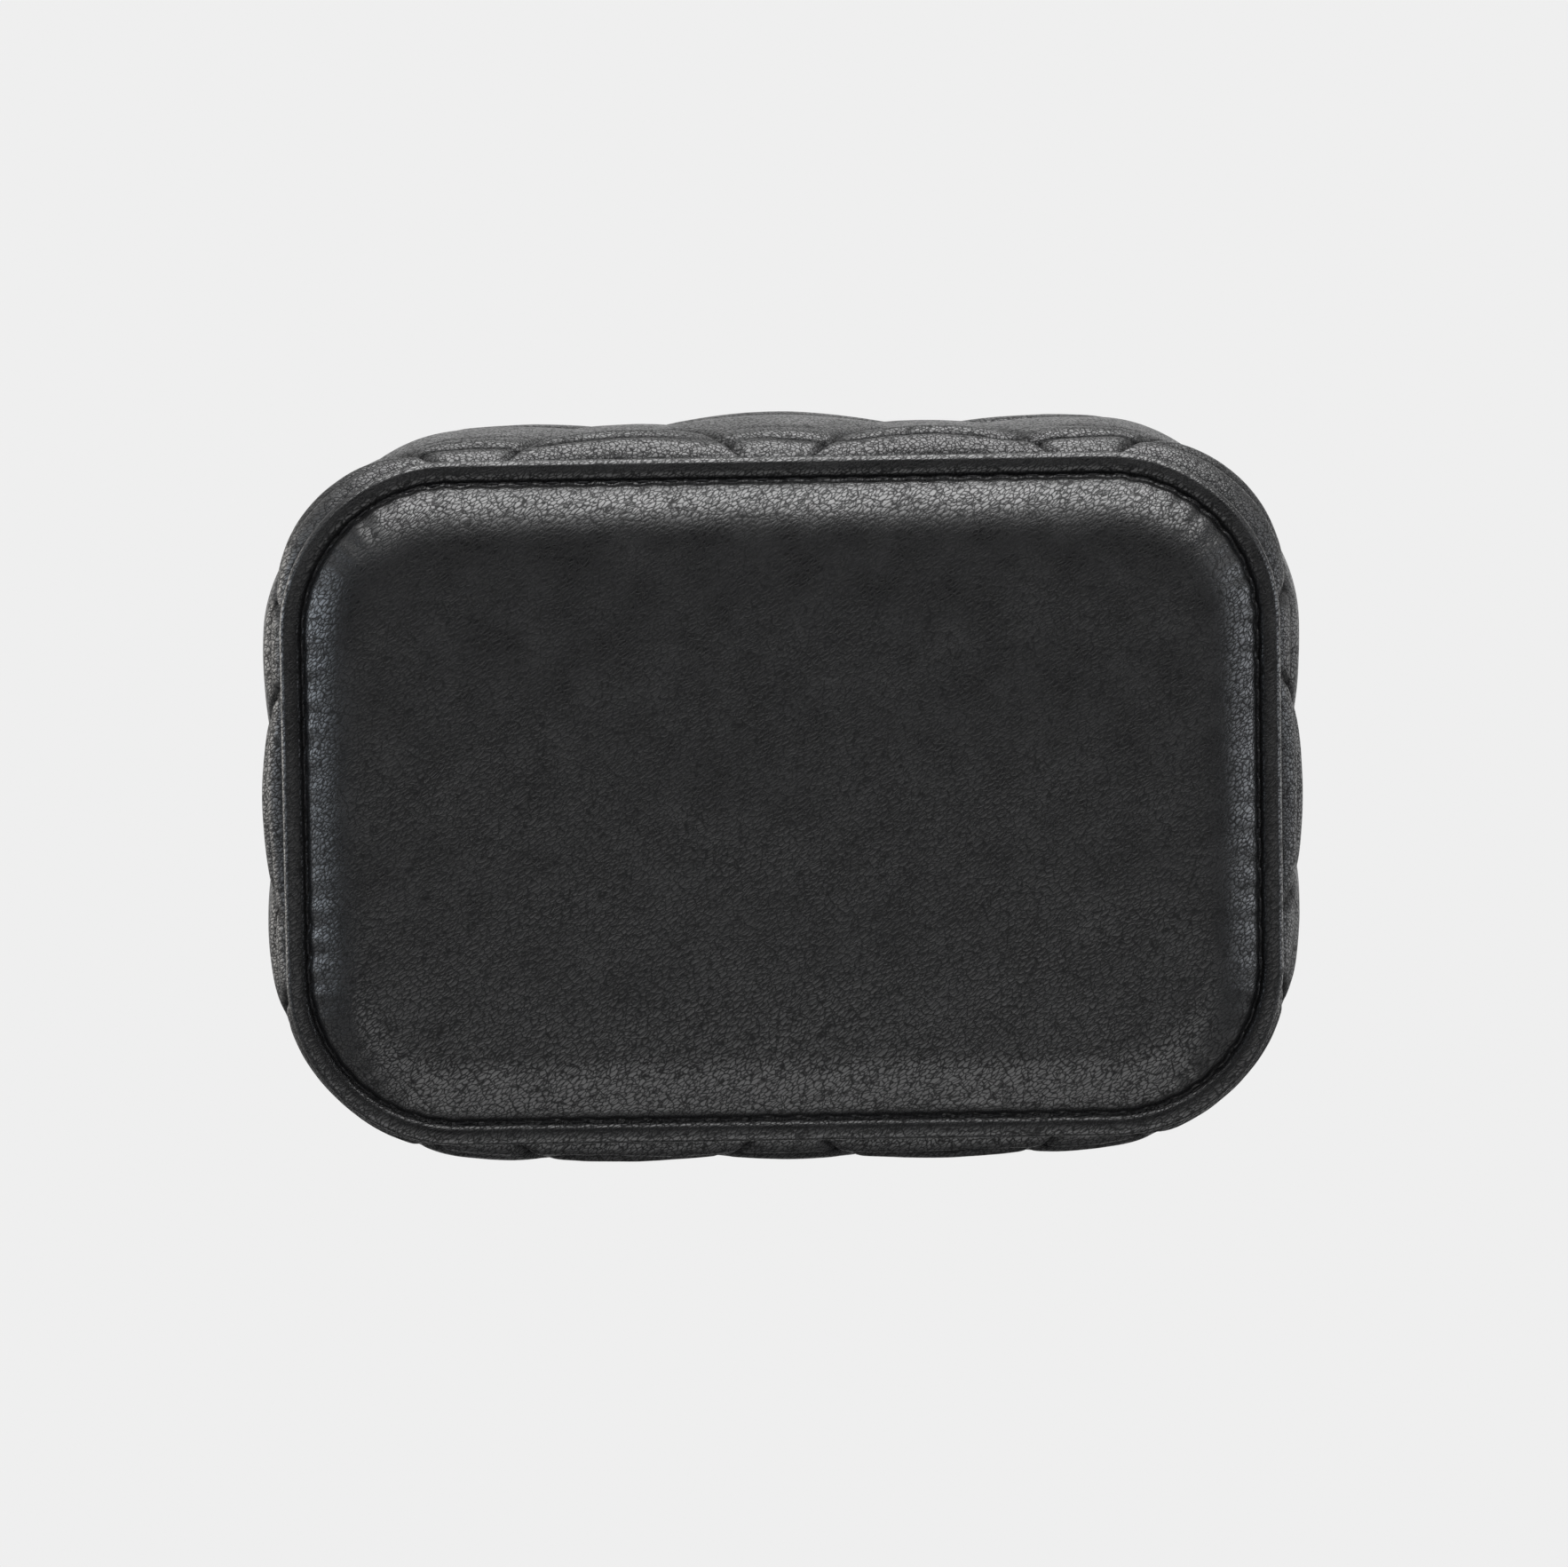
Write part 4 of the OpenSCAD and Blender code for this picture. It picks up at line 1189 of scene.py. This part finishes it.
bevelled("zip_stops_lower", "lower_stops", 0.2 * mm, 3, gold_teeth, "case_body", "zip_metal")
bevelled("zip_stops_upper", "upper_stop", 0.2 * mm, 3, gold_teeth, "lid", "zip_metal")
bevelled("zip_slider", "slider", 0.16 * mm, 3, gold, "slider", "zip_metal")
bevelled("zip_puller", "puller", 0.22 * mm, 3, gold, "puller", "zip_metal")
print("slider and puller bevelled")

# %% [markdown]
# ## Suede
#
# The lining is suede: a short nap that lies this way and that, so it looks mottled, and catches light at a
# low angle. Hair could be grown on it, but a nap of a tenth of a millimetre can't be told from a texture
# here. Sheen gives the pale edge, one noise the mottling and a finer one the pile.

# %% Suede
mottle_size = 3.5 * mm
pile_size = 0.16 * mm


def suede_finish(name, color, nap=1.0):
    f = Finish(name, color, 0.95, Specular_IOR_Level=0.12, Sheen_Weight=0.5, Sheen_Roughness=0.35)
    f.shader.inputs["Sheen Tint"].default_value = (0.62, 0.56, 0.54, 1)
    mottle = f.noise(mottle_size, 4.0)
    pile = f.noise(pile_size, 2.0)
    dark = tuple(c * 0.62 for c in color)
    light = tuple(min(1, c * 1.45) for c in color)
    f.set("Base Color", f.mix(f.ramp(mottle, 0.3, 0.7), dark, light))
    normal = f.bump(mottle, 0.12 * mm * nap, 0.35)
    f.set("Normal", f.bump(pile, 0.05 * mm * nap, 0.9, normal))
    return f.material


suede = suede_finish("dark_suede", (0.050, 0.041, 0.040))
roll_suede = suede_finish("roll_suede", (0.058, 0.048, 0.046), nap=0.8)
print("suede: lining and rolls")

# %% [markdown]
# ## The hinge
#
# The lid turns on a panel of the same leather that lies over the back between the ends of the zip. It is
# sewn to the body below and to the lid above, and bends in between. A strip of suede behind it closes the gap
# on the inside, and the last stretch of the upper tape bends with them. Here the panel, the strip and the
# tape's last stretch are built where they stand and ride on neither body.

# %% A flat panel
def flat_panel(name, x0, x1, y, z0, z1, thickness, edge_r, dips=(), nx=120, nz=44):
    """A leather panel on the back wall, with a rounded edge all round. It faces +Y."""
    t = np.linspace(0, 1, nz)
    s = np.linspace(0, 1, nx)
    grid = np.zeros((nz, nx, 3))
    for i, a in enumerate(t):
        for j, b in enumerate(s):
            x = x0 + (x1 - x0) * b
            z = z0 + (z1 - z0) * a
            edge = min(x - x0, x1 - x, z - z0, z1 - z)
            r = min(edge / edge_r, 1)
            drop = thickness * 0.8 * (1 - math.sqrt(1 - (1 - r) ** 2))
            pull = sum(0.12 * mm * math.exp(-((z - d) / (0.45 * mm)) ** 2) for d in dips)
            grid[i, j] = (x, y - drop - pull, z)
    front = grid[:, ::-1]
    back = front.copy()
    back[..., 1] = y - thickness
    ring = [*[(0, j) for j in range(nx)], *[(i, nx - 1) for i in range(1, nz)],
            *[(nz - 1, j) for j in range(nx - 2, -1, -1)], *[(i, 0) for i in range(nz - 2, 0, -1)]]
    index = np.arange(nz * nx).reshape(nz, nx)
    quads = np.stack([index[:-1, :-1], index[:-1, 1:], index[1:, 1:], index[1:, :-1]], -1)
    faces = quads.reshape(-1, 4).tolist()
    n = nz * nx
    faces += [[n + i for i in f[::-1]] for f in faces]
    for (i0, j0), (i1, j1) in zip(ring, ring[1:] + ring[:1]):
        a, b = int(index[i0, j0]), int(index[i1, j1])
        faces.append([b, a, n + a, n + b])
    return new_object(name, np.concatenate([front.reshape(-1, 3), back.reshape(-1, 3)]), faces)


# %% Hinge panel and suede strip
hinge_low, hinge_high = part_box("hinge_panel")
panel = flat_panel("hinge_leather", hinge_low.x, hinge_high.x, hinge_high.y, hinge_low.z, hinge_high.z,
                   hinge_high.y - hinge_low.y, 0.5 * mm, (low_stitch_z, high_stitch_z))
dress(panel, edge_lambskin, None, "smooth_leather", "hinge_panel")
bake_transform(panel)
strip_low, strip_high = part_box("hinge_strip")
inner = flat_panel("hinge_suede", strip_low.x, strip_high.x, strip_high.y, strip_low.z, strip_high.z,
                   strip_high.y - strip_low.y, 0.2 * mm, nx=60, nz=40)
dress(inner, suede, None, "suede", "hinge_strip")
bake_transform(inner)
print("hinge panel %.0f mm wide" % ((hinge_high.x - hinge_low.x) / mm))

# %% Hinge stitches
side_margin = 1.5 * mm
stitch_y = hinge_high.y - 0.03 * mm
for z, body, name in ((low_stitch_z, "case_body", "hinge_stitches_low"),
                      (high_stitch_z, "lid", "hinge_stitches_high")):
    tubes = []
    count = round(2 * (hinge_half - side_margin) / stitch_pitch)
    pitch = 2 * (hinge_half - side_margin) / count
    for i in range(count):
        x = -hinge_half + side_margin + (i + 0.12) * pitch
        tubes.append(stitch_tube((x, stitch_y, z), (x + pitch * stitch_share, stitch_y, z), (0, 1, 0)))
    dress(thread_object(name, tubes), thread, body, "thread")
print("hinge stitches: 2 rows of", count)

# %% The tape's last stretch
tape_end_low, tape_end_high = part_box("zip_tape_end")
end_z0, end_z1 = tape_end_low.z, tape_end_high.z
tape_face, tape_back = -0.05 * mm, -0.55 * mm
profile = [(tape_face, z) for z in np.linspace(end_z0, end_z1, 14)]
profile += [(tape_back, z) for z in np.linspace(end_z1, end_z0, 14)]
end_start = -(girth / 2 - strip_high.x)
end_stop = lead_s - lead_gap
tape_end = strip_along("tape_end", profile, end_start, end_stop, column_w=0.3 * mm)
dress(tape_end, zip_tape, None, "zip_tape", "zip_tape_end")
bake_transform(tape_end)
print("the tape's last stretch bends over %.0f mm" % (end_stop / mm - end_start / mm))

# %% [markdown]
# ## The lid's top
#
# The lid's top is the underside's twin, turned over, but its padding is quilted in the same diamonds as the
# walls. The quilting is sewn through a crowned pad, so the diamonds lie on the crown and fade out at the
# seam.

# %% Quilted top
lid_puff = 1.4 * mm
lid_bite, lid_line_w = 0.15 * mm, 0.5 * mm
lid_pucker_h = 0.04 * mm
lid_seam_h = high("lid_cover").z - lid_top_z - lid_puff


def top_quilt(x, y):
    """The height of the diamonds over the lid's top."""
    a = (x - y) / diamond_w + 0.5
    b = (x + y) / diamond_w + 0.5
    pillow = np.sqrt(np.abs(np.sin(math.pi * a) * np.sin(math.pi * b)))
    across = diamond_w / math.sqrt(2)
    da, db = np.abs(a - np.round(a)) * across, np.abs(b - np.round(b)) * across
    bite = np.exp(-(da / lid_line_w) ** 2) + np.exp(-(db / lid_line_w) ** 2)
    ripple = (np.cos(2 * math.pi * b * across / stitch_pitch) * np.exp(-da / pucker_reach)
              + np.cos(2 * math.pi * a * across / stitch_pitch) * np.exp(-db / pucker_reach))
    return lid_puff * pillow - lid_bite * bite + lid_pucker_h * ripple


lid_top = padded_cover("quilted_lid_top", lid_seam_h, columns=900, quilt=top_quilt)
lid_top.data.transform(Matrix.Translation((0, 0, lid_top_z)) @ Matrix.Scale(-1, 4, (0, 0, 1)))
weld(lid_top)
dress(lid_top, quilted_lambskin, "lid", "smooth_leather", "lid_cover")
lid_row = stitch_row("lid_top_stitches", -stitch_in, lid_top_z - 0.30 * mm, 1)
dress(lid_row, thread, "lid", "thread", "lid_stitching")
print("lid top:", len(lid_top.data.vertices), "vertices")

# %% [markdown]
# ## Board and foam
#
# Board stiffens the case and foam pads it. Both are hidden in use, but each still gets the texture of its
# own stuff, because a look inside or a cut through the case shows them. Board is pressed fibre, so its noise
# is drawn out level, and foam is a net of cells. The boards behind the walls are black, as a maker picks
# them where an edge may show past the lining when the case is open.

# %% Board and foam
fibre_l = 0.5 * mm
foam_cell = 0.5 * mm


def board_finish(name, dark, light):
    f = Finish(name, light, 0.9, Specular_IOR_Level=0.2)
    fibres = f.node("ShaderNodeTexNoise", Vector=f.stretched(1.0, 1.0, 3.5), Scale=1 / fibre_l,
                    Detail=4.0).outputs["Fac"]
    f.set("Base Color", f.mix(f.ramp(fibres, 0.35, 0.65), dark, light))
    f.set("Normal", f.bump(fibres, 0.05 * mm, 0.6))
    return f.material


def foam_finish():
    f = Finish("padding_foam", (0.62, 0.60, 0.52), 0.95, Specular_IOR_Level=0.15)
    cells = f.ramp(f.cells(foam_cell), 0.0, 0.35)
    f.set("Base Color", f.mix(cells, (0.45, 0.43, 0.36), (0.68, 0.66, 0.58)))
    f.set("Normal", f.bump(cells, 0.12 * mm, 0.8))
    return f.material


grey_board = board_finish("grey_board", (0.22, 0.20, 0.18), (0.38, 0.36, 0.32))
black_board = board_finish("black_board", (0.010, 0.0095, 0.009), (0.022, 0.021, 0.020))
padding_foam = foam_finish()
print("board: grey and black, foam cells of %.1f mm" % (foam_cell / mm))

# %% [markdown]
# ## Inside
#
# The lining is a tray of suede over board, with the solid part's own shape. The ring rolls are padded tubes
# wrapped in suede, drawn in at a seam along each end. The rolls lie close side by side, so each is a tube
# with its own profile, where simulated cushions would push through one another. The compartment walls are
# boards wrapped in the same suede, so their top edges are round and full.

# %% Lining, bed, boards and foam
for node, material in (("body_lining", suede), ("lid_lining", suede), ("base_board", grey_board),
                       ("lid_board", grey_board), ("body_wall_board", black_board),
                       ("lid_wall_board", black_board), ("body_collar", edge_lambskin),
                       ("lid_collar", edge_lambskin), ("base_foam", padding_foam), ("lid_foam", padding_foam),
                       ("ring_bed", suede)):
    finish_solid(node, material)
print("linings, boards, foam and collars finished")

# %% Joining the rolls
def join(name, things):
    """Joins objects into one and names it."""
    bm = bmesh.new()
    for thing in things:
        thing.data.transform(thing.matrix_world)
        bm.from_mesh(thing.data)
        bpy.data.objects.remove(thing)
    mesh = bpy.data.meshes.new(name)
    bm.to_mesh(mesh)
    bm.free()
    mesh.shade_smooth()
    whole = bpy.data.objects.new(name, mesh)
    bpy.context.collection.objects.link(whole)
    return whole


print("the rolls are sewn to one bed, so they are joined to one piece")

# %% Ring rolls
rolls_low, rolls_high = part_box("ring_rolls")
roll_count = 5
roll_d = (rolls_high.x - rolls_low.x) / roll_count
lining_in = 4.3 * mm
roll_gap = 0.4 * mm
roll_air = 0.12 * mm
tuck_share, tuck_depth = 0.055, 0.72
wrinkle_h, wrinkle_share = 0.10 * mm, 0.05
uneven_h = 0.05 * mm
inner_r = corner_r - lining_in - roll_gap
roll_things = []
for i in range(roll_count):
    x = rolls_low.x + (i + 0.5) * roll_d
    far = max(abs(x) + roll_d / 2 - roll_gap, run_x)
    half = run_y + math.sqrt(max(inner_r ** 2 - (far - run_x) ** 2, 0))
    centre_z = rolls_high.z - roll_d / 2
    rows = []
    for t in np.linspace(-1, 1, 90):
        # The roll is full along its length and tucked in at its ends.
        end = 1 - abs(t)
        radius = (roll_d / 2 - roll_air) * (1 - (1 - min(end / tuck_share, 1)) ** 2.6 * tuck_depth)
        wrinkle = wrinkle_h * math.exp(-end / wrinkle_share)
        ring = []
        for a in np.linspace(0, 2 * math.pi, 40, endpoint=False):
            r = radius + wrinkle * math.cos(9 * a)
            r += uneven_h * math.sin(5 * a + 9 * t + i)
            z = max(centre_z + r * math.sin(a), rolls_low.z)
            ring.append((x + r * math.cos(a), t * half, z))
        rows.append(ring)
    roll_things.append(grid_object("roll", np.array(rows)[::-1], fill_first=True, fill_last=True))
ring_rolls = join("ring_roll_row", roll_things)
dress(ring_rolls, roll_suede, "case_body", "suede", "ring_rolls")
print("ring rolls:", roll_count)

# %% Compartment walls
wall_edge_r = 0.6 * mm
bevelled("divider_long", "long_wall", wall_edge_r, 5, suede, "case_body", "suede")
bevelled("divider_cross", "cross_wall", wall_edge_r, 5, suede, "case_body", "suede")
print("compartment walls: 2, rounded by %.1f mm" % (wall_edge_r / mm))

# %% [markdown]
# ## Mirror silver
#
# A mirror reflects from the silver behind its glass. A sheet of glass over a metal would be truer, but at
# this size it would only add noise, so the piece is a bright metal, very smooth, with the faint haze of a
# wiped surface.

# %% Mirror silver
def mirror_finish():
    f = Finish("mirror_silver", (0.86, 0.88, 0.89), 0.02, Metallic=1.0)
    haze = f.noise(9 * mm, 3.0)
    f.set("Roughness", f.ramp(haze, 0.4, 0.8, 0.015, 0.05))
    return f.material


mirror_silver = mirror_finish()
print("finishes:", len(bpy.data.materials))

# %% [markdown]
# ## Mirror
#
# The mirror is plain silvered glass under a narrow leather frame. The frame's edges are turned, and the
# glass has a fine bevel all round.

# %% Mirror and frame
bevelled("mirror_frame", "mirror_surround", 0.45 * mm, 4, edge_lambskin, "lid", "smooth_leather")
bevelled("mirror_glass", "mirror", 0.25 * mm, 2, mirror_silver, "lid", "mirror")
print("mirror set in the lid")

# %% [markdown]
# ## Floor and background
#
# The case stands on a plain pale floor, but the scene's own view looks at its underside, so the floor is
# clear when seen from below and casts no shade on the leather. Away from the case the floor fades into the
# colour of the background, so that no horizon shows. A curved backdrop would hide the horizon too, but not
# from every side.

# %% Floor
background = 0.863
fade_from, fade_to = 0.16, 0.5


def floor_finish():
    f = Finish("pale_floor", (0.80, 0.80, 0.80), 0.9, Specular_IOR_Level=0.1)
    tree = f.tree
    clear = tree.nodes.new("ShaderNodeBsdfTransparent")
    back = tree.nodes.new("ShaderNodeNewGeometry").outputs["Backfacing"]
    mix = tree.nodes.new("ShaderNodeMixShader")
    # Far from the case the floor fades into the background.
    away = f.node("ShaderNodeVectorMath", operation="LENGTH")
    f.put(away.inputs[0], f.place)
    pale = f.node("ShaderNodeEmission", Color=(background, background, background, 1))
    fade = f.node("ShaderNodeMixShader")
    share = f.ramp(away.outputs["Value"], fade_from, fade_to)
    for socket, value in zip(fade.inputs, (share, f.shader.outputs[0], pale.outputs[0])):
        f.put(socket, value)
    tree.links.new(back, mix.inputs[0])
    tree.links.new(fade.outputs[0], mix.inputs[1])
    tree.links.new(clear.outputs[0], mix.inputs[2])
    tree.links.new(mix.outputs[0], tree.nodes["Material Output"].inputs["Surface"])
    grit = f.noise(4 * mm, 4.0)
    f.set("Base Color", f.mix(grit, (0.79, 0.79, 0.79), (0.82, 0.82, 0.82)))
    return f.material


floor_half = 2.5
corners = [(x * floor_half, y * floor_half, 0) for x, y in ((-1, -1), (1, -1), (1, 1), (-1, 1))]
floor = new_object("floor", corners, [(0, 1, 2, 3)], False)
floor.data.materials.append(floor_finish())
floor.visible_shadow = False
floor.visible_glossy = False
floor.visible_diffuse = False
print("floor %.0f m wide" % (2 * floor_half))

# %% [markdown]
# ## The room
#
# Black leather shows almost nothing but what it reflects, so the room is made for its reflections. The
# camera sees a pale background. In a reflection the room is as pale at the case's own height, and grows dark
# towards the ground, which is what keeps the underside black. It is dimmer overhead, and dimmest behind and
# above, or the walls' upper turns would glare. What lights the colours is a plain, even level from all
# sides.

# %% World
ground_gloss = 0.03
ceiling_gloss = 0.33 * background
behind_gloss = 0.25
plain_light = 0.72

world = bpy.data.worlds.new("studio")
bpy.context.scene.world = world
world.use_nodes = True
wt = world.node_tree


def world_node(kind, **sockets):
    """Adds a node to the world. Sockets are named, or numbered as i0, i1 and so on."""
    made = wt.nodes.new(kind)
    for name, value in sockets.items():
        socket = made.inputs[int(name[1:])] if name[0] == "i" and name[1:].isdigit() else made.inputs[name]
        if isinstance(value, bpy.types.NodeSocket):
            wt.links.new(value, socket)
        else:
            socket.default_value = value
    return made


print("the room is pale, its ground dark")


# %% Short calls for the world
def world_ramp(value, low_in, high_in, low_out=0.0, high_out=1.0):
    """Stretches a value from one range to another, and holds it inside the new range."""
    made = world_node("ShaderNodeMapRange", i0=value, i1=low_in, i2=high_in, i3=low_out, i4=high_out)
    return made.outputs[0]


def world_maths(operation, a, b=0.0):
    """One step of arithmetic on two values."""
    made = world_node("ShaderNodeMath", i0=a, i1=b)
    made.operation = operation
    return made.outputs[0]


def world_mix(factor, a, b):
    """a where the factor is 0 and b where it is 1."""
    return world_node("ShaderNodeMix", i0=factor, i2=a, i3=b).outputs[0]


print("the world is made by short calls too")

# %% What the room shows
paths = world_node("ShaderNodeLightPath").outputs
way = world_node("ShaderNodeSeparateXYZ", i0=world_node("ShaderNodeTexCoord").outputs["Generated"]).outputs
sideways = world_maths("ABSOLUTE", way["X"])
# What shines on leather and metal: the pale room, which grows dim towards the ground and overhead.
room = world_ramp(way["Z"], -0.8, -0.1, ground_gloss, background)
ceiling = world_ramp(way["Z"], 0.3, 0.9, background, ceiling_gloss)
sides = world_ramp(sideways, 0.08, 0.45, 0.0, background)
shown = world_maths("MINIMUM", room, world_maths("MAXIMUM", ceiling, sides))
# Behind and above the case the room is dimmer still.
behind = world_ramp(way["Y"], 0.05, 0.4)
above = world_ramp(way["Z"], -0.2, 0.3)
dimming = world_ramp(world_maths("MULTIPLY", behind, above), 0.0, 1.0, 1.0, behind_gloss)
reflected = world_maths("MULTIPLY", shown, dimming)
in_leather = world_mix(paths["Is Glossy Ray"], plain_light, reflected)
clear_view = world_maths("MAXIMUM", paths["Is Camera Ray"], paths["Is Transmission Ray"])
strength = world_mix(clear_view, in_leather, background)
wt.links.new(strength, wt.nodes["Background"].inputs["Strength"])
wt.nodes["Background"].inputs["Color"].default_value = (1, 1, 1, 1)
print("world nodes:", len(wt.nodes))

# %% [markdown]
# ## Lamps
#
# Broad soft lamps draw the long highlights on which leather lives. All but the one overhead are seen in
# reflections only, so they shape the gloss and leave the colours at the room's plain level. The long front
# lamp below the case draws the bright line along the underside's front shoulder, and narrower ones at both
# sides draw the faint cool lines there. Farther round, weaker lamps pick out the rim, the walls and the
# hinge.

# %% A soft lamp
centre = Vector((0, 0, 0.03))


def softbox(name, place, width, height, power, color=(1, 1, 1), gloss_only=True):
    """A rectangular lamp that faces the case. Its power is in watts and its sizes are in metres."""
    lamp = bpy.data.lights.new(name, "AREA")
    lamp.shape = "RECTANGLE"
    lamp.size, lamp.size_y = width, height
    lamp.energy = power
    lamp.color = color
    thing = bpy.data.objects.new(name, lamp)
    bpy.context.collection.objects.link(thing)
    thing.location = place
    thing.rotation_mode = "QUATERNION"
    thing.rotation_quaternion = (centre - Vector(place)).to_track_quat("-Z", "Y")
    thing.visible_diffuse = not gloss_only
    return thing


print("lamps face a point %.0f mm up" % (centre.z / mm))

# %% The lamps
softbox("front_low_box", (0.03, -0.57, -0.37), 0.92, 0.42, 14.5)
softbox("front_box", (0.0, -0.92, 0.10), 1.1, 0.32, 16.5)
softbox("top_box", (0.1, -0.2, 0.9), 0.9, 0.9, 2.8, gloss_only=False)
softbox("left_low_box", (-0.72, -0.10, -0.24), 0.28, 0.6, 3.1, (0.80, 0.89, 1.0))
softbox("right_low_box", (0.72, -0.05, -0.26), 0.30, 0.6, 2.7, (0.88, 0.93, 1.0))
softbox("left_box", (-0.9, -0.1, 0.35), 0.5, 0.6, 5.5, (1.0, 0.96, 0.90))
softbox("right_box", (0.9, 0.1, 0.35), 0.5, 0.6, 2.2)
softbox("rear_low_box", (0.0, 0.48, -0.74), 1.0, 0.66, 5.5)
softbox("rear_side_box", (0.0, 0.76, -0.34), 0.9, 0.24, 1.7)
softbox("rear_high_box", (0.0, 0.4, 1.1), 0.9, 0.6, 2.0)
print("lamps:", len(bpy.data.lights))

# %% [markdown]
# ## Camera
#
# The scene's own view looks up at the underside, tilted a little towards the front, with a long lens. The
# view is set from the width that the frame takes in at the case, so a new distance needs no new lens. A long
# lens keeps the walls nearly hidden behind the rim, as they are when such a case is held at arm's length.

# %% Camera
azimuth, elevation = 0.88, -85.82
distance = 0.724
field_w = 172.4 * mm
aim = Vector((0.22 * mm, -1.85 * mm, rim_z))
a, e = math.radians(azimuth), math.radians(elevation)
back = Vector((math.sin(a) * math.cos(e), -math.cos(a) * math.cos(e), math.sin(e)))
eye = bpy.data.cameras.new("camera")
eye.sensor_width = 36.0
eye.lens = eye.sensor_width * distance / field_w
eye.clip_start = 0.01
camera = bpy.data.objects.new("camera", eye)
bpy.context.collection.objects.link(camera)
camera.location = aim + back * distance
camera.rotation_mode = "QUATERNION"
camera.rotation_quaternion = (-back).to_track_quat("-Z", "Y")
bpy.context.scene.camera = camera
bpy.context.scene.view_settings.view_transform = "Standard"
print("lens %.0f mm" % eye.lens)
